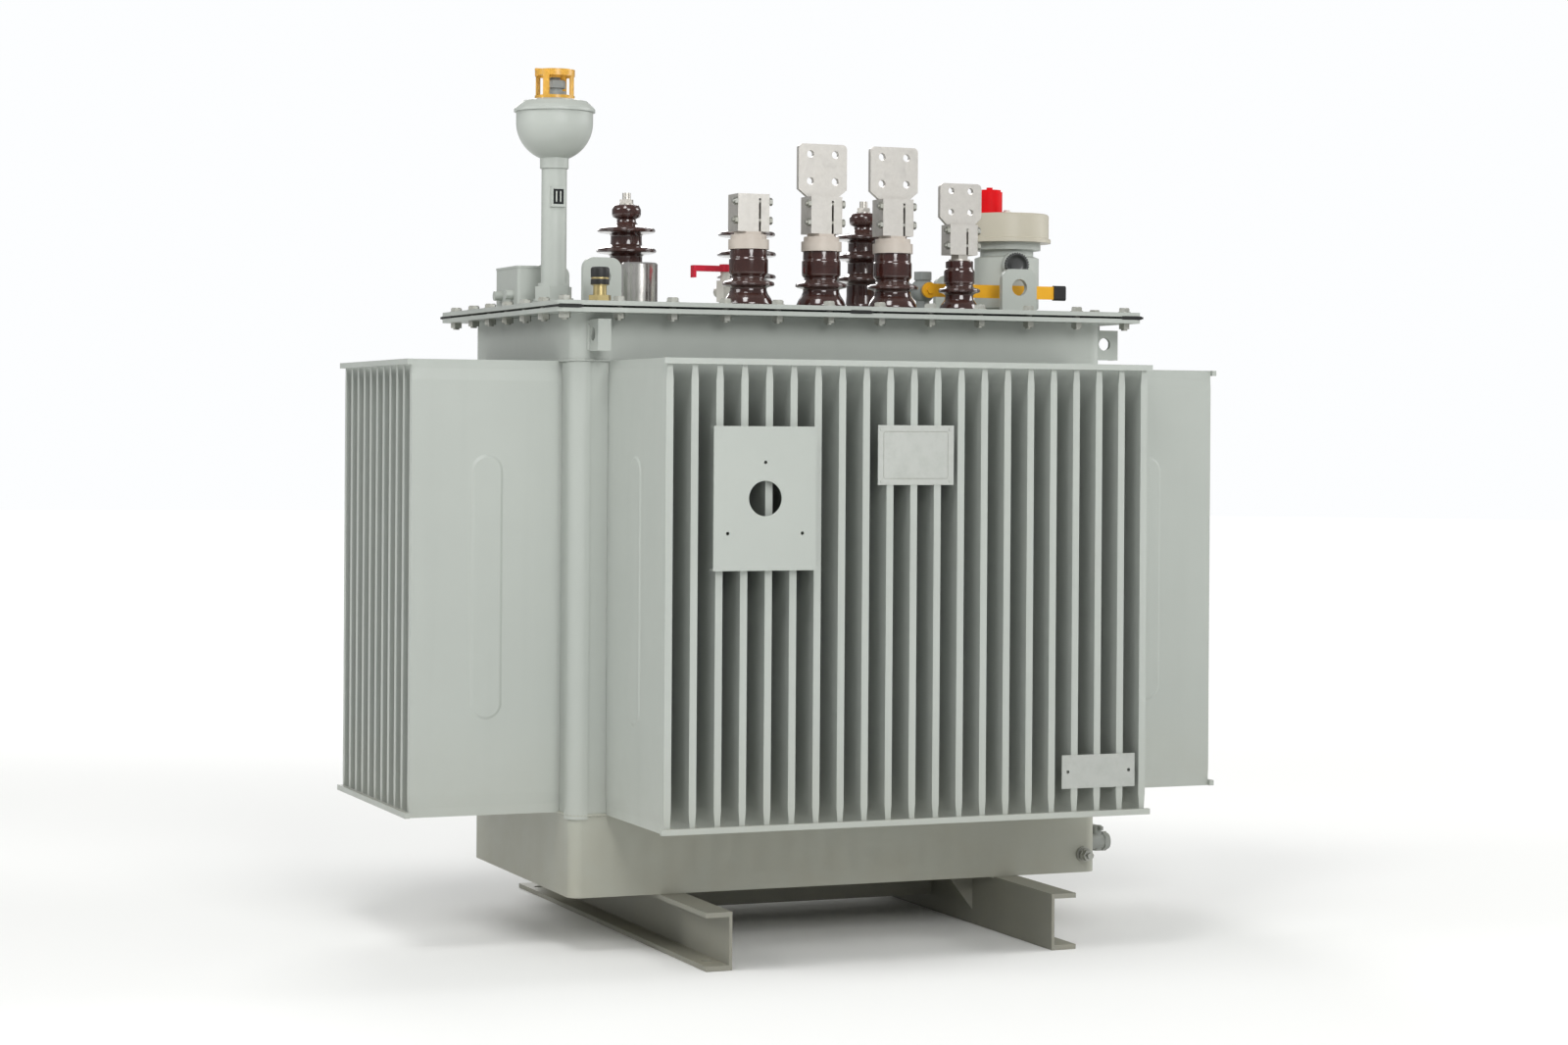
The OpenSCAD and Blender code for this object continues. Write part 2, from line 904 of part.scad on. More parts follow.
module drain_cock_body() {
  socket_r = 8;
  socket_l = 10;
  flange_r1 = 22;
  flange_l1 = 6;
  plug_x = 24;
  out_l = 12;
  color("#b59a55")
    translate([half_l, drain_y, drain_z])
      rotate([0, 90, 0])
        difference() {
          union() {
            cylinder(h = drain_l, r = drain_r);
            cylinder(h = flange_l1, r = flange_r1);
            translate([0, 0, drain_l - out_l])
              hex(2 * drain_r + 2, out_l - 3);
          }
          translate([0, 0, -eps])
            cylinder(h = drain_l - socket_l + 2 * eps, r = drain_bore_r);
          translate([0, 0, drain_l - socket_l])
            cylinder(h = socket_l + eps, r = socket_r);
          translate([-flange_r1, 0, plug_x])
            rotate([0, 90, 0])
              cylinder(h = 2 * flange_r1, r = drain_plug_r + 0.06);
        }
}

module drain_cock_plug() {
  plug_x = 24;
  below = 17;
  above = 30;
  bar_l = 44;
  bar_t = 7;
  color("#c2a660")
    translate([half_l + plug_x, drain_y, drain_z])
      difference() {
        union() {
          translate([0, 0, -below])
            cylinder(h = below + above, r = drain_plug_r);
          translate([0, 0, above - bar_t])
            linear_extrude(bar_t)
              rounded(bar_t, bar_l, bar_t / 2 - 0.01);
        }
        rotate([90, 0, 0])
          translate([0, 0, -below])
            cylinder(h = 2 * below, r = drain_bore_r);
      }
}

// ---------- filler and level gauge ----------

module filler_pipe() {
  foot_t = 12;
  foot_w = 66;
  screw_r = 5;
  screw_in = 8;
  boss_d = 8;
  color("#b4bab5")
    translate([pipe_x, pipe_y, 0])
      difference() {
        union() {
          translate([0, 0, top_z])
            cylinder(h = pipe_top_z - top_z, r = pipe_r);
          translate([0, 0, top_z + foot_t])
            hex(2 * union_r - 3, union_h - foot_t - 6);
          translate([0, 0, top_z + union_h - 6])
            cylinder(h = 6, r = union_r - 3);
          translate([0, 0, top_z])
            linear_extrude(foot_t)
              rounded(foot_w, foot_w, 8);
          for (i = ends, j = ends)
            translate([i * (foot_w / 2 - screw_in), j * (foot_w / 2 - screw_in), top_z + foot_t])
              hex(2 * screw_r, 5);
          translate([-window_w / 2 - 4, -pipe_r - 3, window_z - window_h / 2 - 5])
            cube([window_w + 8, boss_d, window_h + 10]);
        }
        translate([0, 0, top_z - eps])
          cylinder(h = pipe_top_z - top_z + 2 * eps, r = pipe_r - pipe_t);
        translate([-window_w / 2, -pipe_r - 3 - eps, window_z - window_h / 2])
          cube([window_w, boss_d + 6, window_h]);
      }
}

module filler_bowl() {
  color("#b4bab5")
    translate([pipe_x, pipe_y, 0])
      rotate_extrude($fn = 96)
        difference() {
          union() {
            translate([0, bowl_z])
              circle(bowl_r, $fn = 96);
            translate([0, bowl_z])
              square([bowl_r, bowl_band]);
            translate([bowl_r - bowl_t, bowl_rim_z - 3])
              square([bowl_lip + bowl_t, 3]);
            translate([0, pipe_top_z - 12])
              square([pipe_r + 3, 20]);
          }
          translate([0, bowl_z])
            circle(bowl_r - bowl_t, $fn = 96);
          translate([0, bowl_z])
            square([bowl_r - bowl_t, bowl_band + eps + bowl_r]);
          translate([0, pipe_top_z - 13])
            square([pipe_r - pipe_t, 24]);
          translate([0, pipe_top_z - 13])
            square([pipe_r, 13]);
          translate([-2 * bowl_r, pipe_top_z - 13])
            square([2 * bowl_r, 3 * bowl_r]);
          translate([bowl_r - bowl_t, bowl_rim_z])
            square([2 * bowl_r, bowl_r]);
        }
}

module filler_lid() {
  t = 2;
  r_out = bowl_r + bowl_lip;
  neck_r = 11;
  color("#c3c7c3")
    translate([pipe_x, pipe_y, bowl_rim_z])
      rotate_extrude($fn = 96)
        polygon([
          [neck_r, lid_rise - t],
          [lid_flat_r - 2, lid_rise - t],
          [60, lid_rise - t - 5],
          [r_out - 5, t + 3],
          [r_out - t, 0],
          [r_out, 0],
          [r_out, t],
          [r_out - 4, t + 5],
          [61, lid_rise - 4.5],
          [lid_flat_r, lid_rise],
          [neck_r, lid_rise]
        ]);
}

module level_window() {
  glass_t = 3;
  color("#23282a")
    translate([pipe_x - window_w / 2, pipe_y - pipe_r - 3, window_z - window_h / 2])
      cube([window_w, glass_t, window_h]);
}

module level_float() {
  rod_r = 2.5;
  rod_l = 190;
  flag_h = 34;
  flag_r = 7;
  color("#b8322a")
    translate([pipe_x, pipe_y, top_z + float_low]) {
      cylinder(h = float_h, r = float_r);
      cylinder(h = rod_l, r = rod_r);
      translate([0, 0, rod_l - flag_h])
        cylinder(h = flag_h, r = flag_r);
    }
}

module vent_valve() {
  neck_r = 10.9;
  body_r = 21;
  body_h = 14;
  neck_h = 6;
  color("#8d9290")
    translate([pipe_x, pipe_y, lid_z]) {
      translate([0, 0, -lid_rise / 2])
        cylinder(h = lid_rise / 2 + eps, r = neck_r);
      cylinder(h = body_h, r = body_r);
      translate([0, 0, body_h])
        cylinder(h = neck_h, r = 14);
      translate([0, 0, body_h + neck_h])
        hex(36, 14);
      translate([0, 0, body_h + neck_h + 14])
        cylinder(h = 6, r = 10);
    }
}

module vent_guard() {
  t = 3;
  bars = 4;
  color("#f0b41e")
    translate([pipe_x, pipe_y, lid_z]) {
      tube(guard_r, guard_r - t, 6);
      translate([0, 0, guard_h - 12])
        difference() {
          cylinder(h = 12, r = guard_r);
          translate([0, 0, -eps])
            cylinder(h = 12 - t + eps, r = guard_r - t);
        }
      for (i = [0 : bars - 1])
        rotate([0, 0, i * 360 / bars + 45])
          translate([guard_r - t - 1, -guard_bar / 2, 0])
            intersection() {
              cube([t + 1, guard_bar, guard_h]);
              translate([-(guard_r - t - 1), guard_bar / 2, 0])
                cylinder(h = guard_h, r = guard_r);
            }
      translate([-guard_r - 1, -guard_bar / 4, guard_h - t])
        cube([2 * guard_r + 2, guard_bar / 2, t + 2]);
    }
}

// ---------- bushings ----------

module hv_porcelain() {
  s = hv_shed_r;
  difference() {
    rotate_extrude()
      polygon([
        [0, 0], [47, 0], [47, 12], [40, 18], [34, 28], [33, 66],
        [36, 69], [s - 2, 73], [s, 75], [s, 79], [s - 3, 81], [36, 85],
        [31, 88], [31, 110],
        [36, 114], [s - 2, 117], [s, 119], [s, 123], [s - 3, 125], [36, 129],
        [30, 132], [30, 150],
        [34, 153], [s - 4, 156], [s - 2, 159], [s - 2, 162], [s - 5, 164], [33, 168],
        [24, 171], [19, 176], [18, 182],
        [26, 185], [28, 191], [28, 201], [24, hv_h], [0, hv_h]
      ]);
    translate([0, 0, -eps])
      cylinder(h = hv_h + 2 * eps, r = hv_stud_r + 0.5);
  }
}

module hv_porcelains() {
  color("#3a1d18")
    for (x = hv_x)
      translate([x, hv_y, top_z])
        hv_porcelain();
}

module hv_studs() {
  below = 60;
  nut_h = 8;
  color("#b79a58")
    for (x = hv_x)
      translate([x, hv_y, top_z]) {
        translate([0, 0, -below])
          cylinder(h = hv_h + below + 24, r = hv_stud_r);
        translate([0, 0, hv_h])
          cylinder(h = 3, r = 14);
        translate([0, 0, hv_h + 3])
          hex(24, nut_h);
      }
}

module lv_porcelain() {
  s = lv_shed_r;
  difference() {
    rotate_extrude()
      polygon([
        [0, 0], [46, 0], [46, 9], [42, 18], [36, 27], [33, 34],
        [33, 37], [38, 39], [s - 1, 41], [s, 43], [s, 47], [s - 2, 49], [38, 51],
        [31, 53], [31, 59], [34, 61], [36, 64], [36, 90],
        [34, 93], [34, lv_h], [0, lv_h]
      ]);
    translate([0, 0, -eps])
      cylinder(h = lv_h + 2 * eps, r = lv_stud_r + 0.5);
  }
}

module lv_porcelains() {
  color("#3a1d18")
    for (x = lv_x)
      translate([x, lv_y, top_z])
        lv_porcelain();
}

module neutral_porcelain() {
  s = n_shed_r;
  color("#3a1d18")
    translate([lv_n_x, lv_y, top_z])
      difference() {
        rotate_extrude()
          polygon([
            [0, 0], [38, 0], [38, 8], [34, 16], [28, 24], [26, 34],
            [31, 37], [s - 1, 39], [s, 41], [s, 43], [s - 2, 45], [31, 47],
            [26, 49], [26, 53], [29, 56], [29, 79], [26, 83],
            [26, n_h], [0, n_h]
          ]);
        translate([0, 0, -eps])
          cylinder(h = n_h + 2 * eps, r = n_stud_r + 0.5);
      }
}

module lv_studs() {
  below = 70;
  phase_low_z = lead_z + lead_bar_t;
  color("#b98a55") {
    for (x = lv_x)
      translate([x, lv_y, phase_low_z])
        cylinder(h = clamp_z + clamp_h - 11 - phase_low_z, r = lv_stud_r);
    translate([lv_n_x, lv_y, top_z - below])
      cylinder(h = below + n_h + n_clamp_h, r = n_stud_r);
    translate([lv_n_x, lv_y, top_z + n_h])
      cylinder(h = 3, r = 20);
    translate([lv_n_x, lv_y, top_z + n_h + 3])
      hex(30, 8);
  }
}

module lv_collars() {
  color("#cfc7ae")
    for (x = lv_x)
      translate([x, lv_y, collar_z])
        difference() {
          union() {
            cylinder(h = collar_h - 9, r = 37.5);
            translate([0, 0, collar_h - 9])
              cylinder(h = 9, r = 33);
            translate([0, 0, collar_h])
              hex(50, 5);
          }
          translate([0, 0, -eps])
            cylinder(h = collar_h + 5 + 2 * eps, r = lv_stud_r);
        }
}

// Split clamp on a stud, closed by two cross screws, with an optional palm
module clamp_terminal(w, h, stud_r, pw, ph, pitch, hole_d, with_palm) {
  slot = 4;
  d = 2 * stud_r + 20;
  roof = 8;
  neck = 14;
  corner = 9;
  shift = 5;
  difference() {
    union() {
      translate([-w / 2, -d / 2, 0])
        cube([w, d, h]);
      if (with_palm)
        translate([0, palm_t / 2, h])
          upright(palm_t)
            difference() {
              union() {
                polygon([[-w / 2, 0], [w / 2, 0], [pw / 2, neck], [-pw / 2, neck]]);
                translate([-pw / 2, neck])
                  square([pw, ph - neck - corner]);
                translate([-pw / 2 + corner, neck])
                  square([pw - 2 * corner, ph - neck]);
                for (i = ends)
                  translate([i * (pw / 2 - corner), ph - corner])
                    circle(corner);
              }
              for (i = ends, j = ends)
                translate([i * pitch / 2, ph / 2 + shift + j * pitch / 2])
                  circle(d = hole_d, $fn = 32);
            }
    }
    translate([0, 0, -eps])
      cylinder(h = h - roof + eps, r = stud_r);
    translate([stud_r - slot - 1, -d, -eps])
      cube([slot, d, h - roof + eps]);
    for (z = clamp_screw_at)
      translate([-w / 2 - eps, -stud_r - 5, z * h])
        rotate([0, 90, 0])
          cylinder(h = w + 2 * eps, r = clamp_screw_r, $fn = 32);
  }
}

// Cross screws of one clamp, heads to the right
module clamp_screw_pair(w, h, stud_r) {
  head_af = 13;
  head_h = 6;
  tail = 10;
  for (z = clamp_screw_at)
    translate([-w / 2, -stud_r - 5, z * h])
      rotate([0, 90, 0]) {
        translate([0, 0, -tail])
          cylinder(h = w + tail + eps, r = clamp_screw_r, $fn = 32);
        translate([0, 0, -head_h])
          hex(head_af, head_h);
        translate([0, 0, w])
          hex(head_af, head_h);
      }
}

module phase_terminal(x, with_palm) {
  color("#c9cbc9")
    translate([x, lv_y, clamp_z])
      clamp_terminal(clamp_w, clamp_h, lv_stud_r, palm_w, palm_h, palm_pitch, palm_hole_d, with_palm);
}

module lv_terminal_a() {
  phase_terminal(lv_a_x, false);
}

module lv_terminal_b() {
  phase_terminal(lv_b_x, true);
}

module lv_terminal_c() {
  phase_terminal(lv_c_x, true);
}

module neutral_terminal() {
  color("#c9cbc9")
    translate([lv_n_x, lv_y, n_clamp_z])
      clamp_terminal(n_clamp_w, n_clamp_h, n_stud_r, n_palm_w, n_palm_h, n_palm_pitch, n_palm_hole_d, true);
}

module clamp_screws() {
  color("#b9bbb6") {
    for (x = lv_x)
      translate([x, lv_y, clamp_z])
        clamp_screw_pair(clamp_w, clamp_h, lv_stud_r);
    translate([lv_n_x, lv_y, n_clamp_z])
      clamp_screw_pair(n_clamp_w, n_clamp_h, n_stud_r);
  }
}

// ---------- tap changer ----------

module tap_cap() {
  gap = 0.3;
  foot = 8;
  recess = 20;
  bevel = 3;
  color("#c8c9c6")
    translate([tap_x, tap_y, top_z + foot + gap])
      rotate_extrude($fn = 96)
        polygon([
          [shaft_r, 0],
          [tap_cap_r, 0],
          [tap_cap_r, tap_cap_h - foot - gap - bevel],
          [tap_cap_r - bevel, tap_cap_h - foot - gap],
          [0, tap_cap_h - foot - gap],
          [0, recess],
          [shaft_r, recess]
        ]);
}

module tap_changer_body() {
  foot_r = 41;
  foot = 8;
  barrel_r = 24;
  color("#9ea3a0")
    translate([tap_x, tap_y, 0])
      difference() {
        union() {
          translate([0, 0, tap_low_z])
            cylinder(h = top_z - tap_low_z + eps, r = barrel_r);
          translate([0, 0, top_z])
            cylinder(h = foot, r = foot_r);
        }
        translate([0, 0, tap_low_z - eps])
          cylinder(h = top_z + foot - tap_low_z + 2 * eps, r = shaft_r + 0.05);
      }
}

module tap_rotor() {
  gap = 0.3;
  hub_r = 13;
  hub_h = 24;
  arm_l = 48;
  arm_w = 10;
  arm_h = 10;
  top = top_z + 8 + gap + 20;
  color("#c2a466")
    translate([tap_x, tap_y, 0]) {
      translate([0, 0, tap_low_z - hub_h])
        cylinder(h = top - tap_low_z + hub_h, r = shaft_r);
      translate([0, 0, tap_low_z - gap - hub_h])
        cylinder(h = hub_h, r = hub_r);
      translate([-arm_l / 2, -arm_w / 2, tap_low_z - gap - hub_h])
        cube([arm_l, arm_w, arm_h]);
    }
}

// ---------- relief device ----------

module relief_turret() {
  bore = disc_r - 8;
  foot_r = 54;
  neck_r = 52;
  flange_r1 = 66;
  port_z = 100;
  port_r = 26;
  port_l = 76;
  plug_r = 21;
  plug_l = 80;
  port_turn = -12;
  color("#aeb2ad")
    translate([relief_x, relief_y, top_z])
      difference() {
        union() {
          rotate_extrude()
            polygon([
              [0, 0], [foot_r, 0], [foot_r, 14], [turret_r, 18],
              [turret_r, turret_h - 30], [neck_r, turret_h - 26],
              [neck_r, turret_h - 16], [flange_r1, turret_h - 14],
              [flange_r1, turret_h], [0, turret_h]
            ]);
          translate([0, 0, port_z])
            rotate([90, 0, port_turn]) {
              cylinder(h = port_l, r = port_r);
              cylinder(h = plug_l, r = plug_r);
            }
        }
        translate([0, 0, -eps])
          cylinder(h = turret_h + 2 * eps, r = bore);
      }
}

module relief_housing() {
  wall = 6;
  lip_r = drum_r + 4;
  lip_h = 7;
  inner_r = 58;
  roof = 3;
  color("#c3bfae")
    translate([relief_x, relief_y, top_z + turret_h])
      rotate_extrude($fn = 96)
        polygon([
          [inner_r, 0],
          [lip_r, 0],
          [lip_r, lip_h],
          [drum_r, lip_h + 2],
          [drum_r, drum_h - 3],
          [drum_r - 3, drum_h],
          [pin_r + 0.05, drum_h],
          [pin_r + 0.05, drum_h - roof],
          [drum_r - wall, drum_h - roof],
          [drum_r - wall, 4],
          [inner_r, 4]
        ]);
}

module relief_disc() {
  gap = 0.3;
  color("#8f9390")
    translate([relief_x, relief_y, top_z + turret_h + gap])
      cylinder(h = disc_t, r = disc_r);
}

module relief_spring() {
  turns = 4;
  low = 6;
  high = drum_h - 3;
  r_in = 28;
  r_out = 34;
  color("#6e7276")
    translate([relief_x, relief_y, top_z + turret_h + low])
      linear_extrude(high - low - 0.4, twist = -360 * turns, slices = 14 * turns, convexity = 8)
        difference() {
          circle(r_out, $fn = 20);
          circle(r_in, $fn = 20);
          translate([-2 * r_out, 0])
            square(4 * r_out);
        }
}

module signal_pin() {
  gap = 0.3;
  low = disc_t + 2 * gap;
  cap_h = 9;
  cap_r = 9;
  color("#e4e3dd")
    translate([relief_x, relief_y, top_z + turret_h]) {
      translate([0, 0, low])
        cylinder(h = drum_h + gap - low + 1, r = pin_r);
      translate([0, 0, drum_h + gap])
        cylinder(h = cap_h - 3, r = cap_r);
      translate([0, 0, drum_h + gap + cap_h - 3])
        cylinder(h = 3, r = cap_r - 2.5);
    }
}

module switch_cap() {
  off_x = -45;
  off_y = -14;
  r = 25;
  h = 46;
  nub_h = 5;
  color("#d8202c")
    translate([relief_x + off_x, relief_y + off_y, top_z + turret_h + drum_h]) {
      cylinder(h = h - 4, r = r);
      translate([0, 0, h - 4])
        cylinder(h = 4, r = r - 3);
      translate([0, 0, h])
        cylinder(h = nub_h, r = 6);
    }
}

// ---------- valves ----------

module sampling_valve_body() {
  pipe_out = 11;
  pipe_in = 7;
  body_z = 18;
  body_af = 30;
  body_h = 40;
  neck_r = 9;
  neck_h = 16.7;
  color("#dcdcd6")
    translate([sample_x, sample_y, top_z])
      difference() {
        union() {
          cylinder(h = body_z, r = pipe_out);
          translate([0, 0, body_z])
            hex(body_af, body_h);
          translate([0, 0, body_z + body_h])
            cylinder(h = neck_h, r = neck_r);
          translate([0, 0, body_z + body_h / 2])
            rotate([-90, 0, 0])
              cylinder(h = 34, r = pipe_out);
        }
        translate([0, 0, -eps])
          cylinder(h = body_z + eps, r = pipe_in);
        translate([0, 0, body_z + body_h])
          cylinder(h = neck_h + eps, r = 5.05);
        translate([0, 24, body_z + body_h / 2])
          rotate([-90, 0, 0])
            cylinder(h = 20, r = pipe_in);
      }
}

module sampling_lever() {
  low = 75;
  hub_r = 11;
  hub_h = 14;
  t = 11;
  w = 16;
  hook_t = 6;
  drop = 12;
  stem = 12;
  color("#d8263a")
    translate([sample_x, sample_y, top_z + low]) {
      translate([0, 0, -stem])
        cylinder(h = stem + 1, r = 5);
      cylinder(h = hub_h, r = hub_r);
      translate([-sample_lever_l, -w / 2, 0])
        cube([sample_lever_l, w, t]);
      translate([-sample_lever_l, -w / 2, -drop])
        cube([hook_t, w, drop + t]);
    }
}

module filling_valve_body() {
  pipe_out = 13;
  pipe_in = 9;
  ball_r = 24;
  boss_r = 9;
  boss_l = 26.7;
  cap_af = 32;
  cap_h = 16;
  color("#a8824a")
    translate([fill_x, fill_body_y, 0])
      difference() {
        union() {
          translate([0, 0, top_z])
            cylinder(h = fill_z - top_z, r = pipe_out);
          translate([0, 0, fill_z])
            sphere(ball_r);
          translate([0, 0, fill_z + 20])
            hex(cap_af, cap_h);
          translate([0, 0, top_z])
            hex(34, 12);
          translate([0, 0, fill_z])
            rotate([90, 0, 0])
              cylinder(h = boss_l, r = boss_r);
        }
        translate([0, 0, top_z - eps])
          cylinder(h = 26, r = pipe_in);
        translate([0, -boss_l - eps, fill_z])
          rotate([-90, 0, 0])
            cylinder(h = 18, r = 5.05);
      }
}

module filling_lever() {
  t = 6;
  hub_r = 15;
  stem_l = 16;
  color("#eeb112")
    translate([fill_x, fill_y, fill_z]) {
      translate([0, -t / 2, -fill_lever_w / 2])
        cube([fill_lever_l, t, fill_lever_w]);
      translate([0, t / 2, 0])
        rotate([90, 0, 0])
          cylinder(h = t, r = hub_r);
      translate([0, -t / 2 - 5, 0])
        rotate([-90, 0, 0])
          cylinder(h = stem_l + 5, r = 5);
      translate([0, -t / 2, 0])
        rotate([90, 0, 0])
          hex(13, 5);
    }
}

module lever_grip() {
  t = 6;
  wall = 2;
  over = 6;
  tip = fill_x + fill_lever_l;
  color("#1b1b1b")
    difference() {
      translate([tip + over - grip_l, fill_y, fill_z])
        rotate([0, 90, 0])
          linear_extrude(grip_l)
            rounded(fill_lever_w + 2 * wall, t + 2 * wall, t / 2 + wall - 0.1);
      translate([tip - grip_l, fill_y - t / 2, fill_z - fill_lever_w / 2])
        cube([grip_l, t, fill_lever_w]);
    }
}

// ---------- cover fittings ----------

module thermometer_pocket() {
  hex_h = 14;
  neck_h = 18;
  cap_r = 16;
  cap_h = 30;
  tube_r = 8;
  tube_l = 110;
  color("#b08d4f")
    translate([pocket_x, pocket_y, top_z]) {
      hex(36, hex_h);
      cylinder(h = hex_h + neck_h, r = 12);
      translate([0, 0, hex_h + neck_h])
        cylinder(h = cap_h, r = cap_r);
      translate([0, 0, hex_h + neck_h + cap_h])
        cylinder(h = 2, r = cap_r - 3);
      translate([0, 0, -tube_l])
        cylinder(h = tube_l + eps, r = tube_r);
    }
}

module wiring_box() {
  lid_t = 4;
  over = 2;
  gland_r = 9;
  gland_l = 14;
  cx = -486;
  cy = 130;
  color("#b9beba")
    translate([cx, cy, top_z]) {
      linear_extrude(box_h - lid_t)
        rounded(box_l, box_w, 6);
      translate([0, 0, box_h - lid_t])
        linear_extrude(lid_t)
          rounded(box_l + over, box_w + over, 7);
      for (i = ends)
        translate([-box_l / 2 - gland_l, i * box_w / 4, box_h / 3])
          rotate([0, 90, 0])
            cylinder(h = gland_l + eps, r = gland_r);
    }
}

// ---------- core and windings ----------

module core() {
  yoke_l = 2 * limb_pitch + limb_d;
  color("#6f7478") {
    for (x = limb_x)
      translate([x, 0, core_z + yoke_h])
        cylinder(h = window_open, d = limb_d);
    for (z = [core_z, core_z + yoke_h + window_open])
      translate([-yoke_l / 2, -yoke_w / 2, z])
        cube([yoke_l, yoke_w, yoke_h]);
  }
}

module core_clamps() {
  t = 8;
  margin = 12;
  rod_r = 5.5;
  foot_l = 80;
  foot_w = 36;
  l = 2 * limb_pitch + limb_d - 40;
  low_z = core_z + margin;
  high_z = core_z + yoke_h + window_open + margin;
  h = yoke_h - 2 * margin;
  floor_z = pan_z + pan_floor;
  color("#55595a")
    for (j = ends) {
      for (z = [low_z, high_z])
        translate([-l / 2, j * (yoke_w / 2 + t / 2) - t / 2, z])
          cube([l, t, h]);
      for (i = ends) {
        translate([i * limb_pitch / 2, j * (yoke_w / 2 + t / 2 + 2), low_z + h - eps])
          cylinder(h = high_z - low_z - h + 2 * eps, r = rod_r, $fn = 32);
        translate([
          i * limb_pitch - foot_l / 2,
          j * (yoke_w / 2 + foot_w / 2) - foot_w / 2,
          floor_z
        ])
          cube([foot_l, foot_w, low_z - floor_z]);
      }
    }
}

module windings() {
  for (x = limb_x)
    translate([x, 0, coil_z]) {
      color("#a8683c")
        tube(lv_coil_od / 2, lv_coil_id / 2, coil_h);
      color("#b5783f")
        tube(hv_coil_od / 2, hv_coil_id / 2, coil_h);
    }
}

// Round conductor with ball corners from the winding top to a stud
module hv_lead(x0, x1) {
  top = coil_z + coil_h;
  y0 = (hv_coil_id + hv_coil_od) / 4;
  z = lead_z;
  stud_z = top_z - 60;
  translate([x0, y0, top])
    cylinder(h = z - top, r = lead_r, $fn = 24);
  for (p = [[x0, y0, z], [x0, hv_y, z], [x1, hv_y, z]])
    translate(p)
      sphere(lead_r, $fn = 24);
  translate([x0, y0, z])
    rotate([-90, 0, 0])
      cylinder(h = hv_y - y0, r = lead_r, $fn = 24);
  translate([min(x0, x1), hv_y, z])
    rotate([0, 90, 0])
      cylinder(h = max(abs(x1 - x0), eps), r = lead_r, $fn = 24);
  translate([x1, hv_y, z])
    cylinder(h = stud_z - z, r = lead_r, $fn = 24);
}

// Flat bar from the winding top to a phase stud
module lv_lead(x0, x1) {
  top = coil_z + coil_h;
  w = lead_bar_w;
  t = lead_bar_t;
  translate([x0 - w / 2, lead_y - t / 2, top])
    cube([w, t, lead_z - top + t]);
  translate([x0 - w / 2, lv_y - w / 2, lead_z])
    cube([w, lead_y - lv_y + w / 2 + t / 2, t]);
  translate([min(x0, x1) - w / 2, lv_y - w / 2, lead_z])
    cube([abs(x1 - x0) + w, w, t]);
}

module internal_leads() {
  w = lead_bar_w;
  t = lead_bar_t;
  star_z = coil_z - 10;
  n_low_z = top_z - 70;
  color("#b87745") {
    for (i = [0 : 2]) {
      hv_lead(limb_x[i], hv_x[i]);
      lv_lead(limb_x[i], lv_x[i]);
    }
    translate([lv_n_x - w / 2, neutral_lead_y, n_low_z - t])
      cube([w, lv_y - neutral_lead_y + w / 2, t]);
    translate([lv_n_x - w / 2, neutral_lead_y, star_z])
      cube([w, t, n_low_z - star_z - eps]);
    translate([-limb_pitch - w / 2, neutral_lead_y, star_z])
      cube([2 * limb_pitch + w, t, w]);
  }
}

base_channel_left();
base_channel_right();
base_stiffeners();
tank_pan();
fin_wall_front();
fin_wall_rear();
fin_wall_left();
fin_wall_right();
corner_posts();
fin_tie_bars();
upper_band();
tank_flange();
tank_hooks();
cover_gasket();
cover_plate();
cover_bolts();
lifting_lugs();
gauge_plate();
rating_plate();
earth_stud();
drain_cock_body();
drain_cock_plug();
filler_pipe();
filler_bowl();
filler_lid();
level_window();
level_float();
vent_valve();
vent_guard();
hv_porcelains();
hv_studs();
lv_porcelains();
neutral_porcelain();
lv_studs();
lv_collars();
lv_terminal_a();
lv_terminal_b();
lv_terminal_c();
neutral_terminal();
clamp_screws();
tap_cap();
tap_changer_body();
tap_rotor();
relief_turret();
relief_housing();
relief_disc();
relief_spring();
signal_pin();
switch_cap();
sampling_valve_body();
sampling_lever();
filling_valve_body();
filling_lever();
lever_grip();
core();
core_clamps();
windings();
internal_leads();
thermometer_pocket();
wiring_box();
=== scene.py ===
"""Looks of a three-phase oil transformer with a corrugated-fin tank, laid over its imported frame."""

import math

import bpy
import numpy as np
from bpy.props import FloatProperty, FloatVectorProperty, IntProperty, PointerProperty
from mathutils import Matrix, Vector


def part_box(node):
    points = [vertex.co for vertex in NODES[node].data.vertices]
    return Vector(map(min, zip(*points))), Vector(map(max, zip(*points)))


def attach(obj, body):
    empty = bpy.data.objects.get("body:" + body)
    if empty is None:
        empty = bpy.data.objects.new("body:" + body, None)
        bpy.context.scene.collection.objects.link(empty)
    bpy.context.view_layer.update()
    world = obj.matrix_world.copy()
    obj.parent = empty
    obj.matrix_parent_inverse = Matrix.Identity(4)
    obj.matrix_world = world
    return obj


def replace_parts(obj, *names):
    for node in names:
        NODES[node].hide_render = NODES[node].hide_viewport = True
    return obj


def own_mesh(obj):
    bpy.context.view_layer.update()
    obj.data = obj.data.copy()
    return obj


bl_info = {
    "name": "Oil transformer looks",
    "version": (1, 0, 0),
    "blender": (4, 5, 0),
    "location": "View3D > Sidebar > Transformer",
    "description": "Finishes, porcelains, welds and small fittings of an oil-immersed transformer",
    "category": "Object",
}

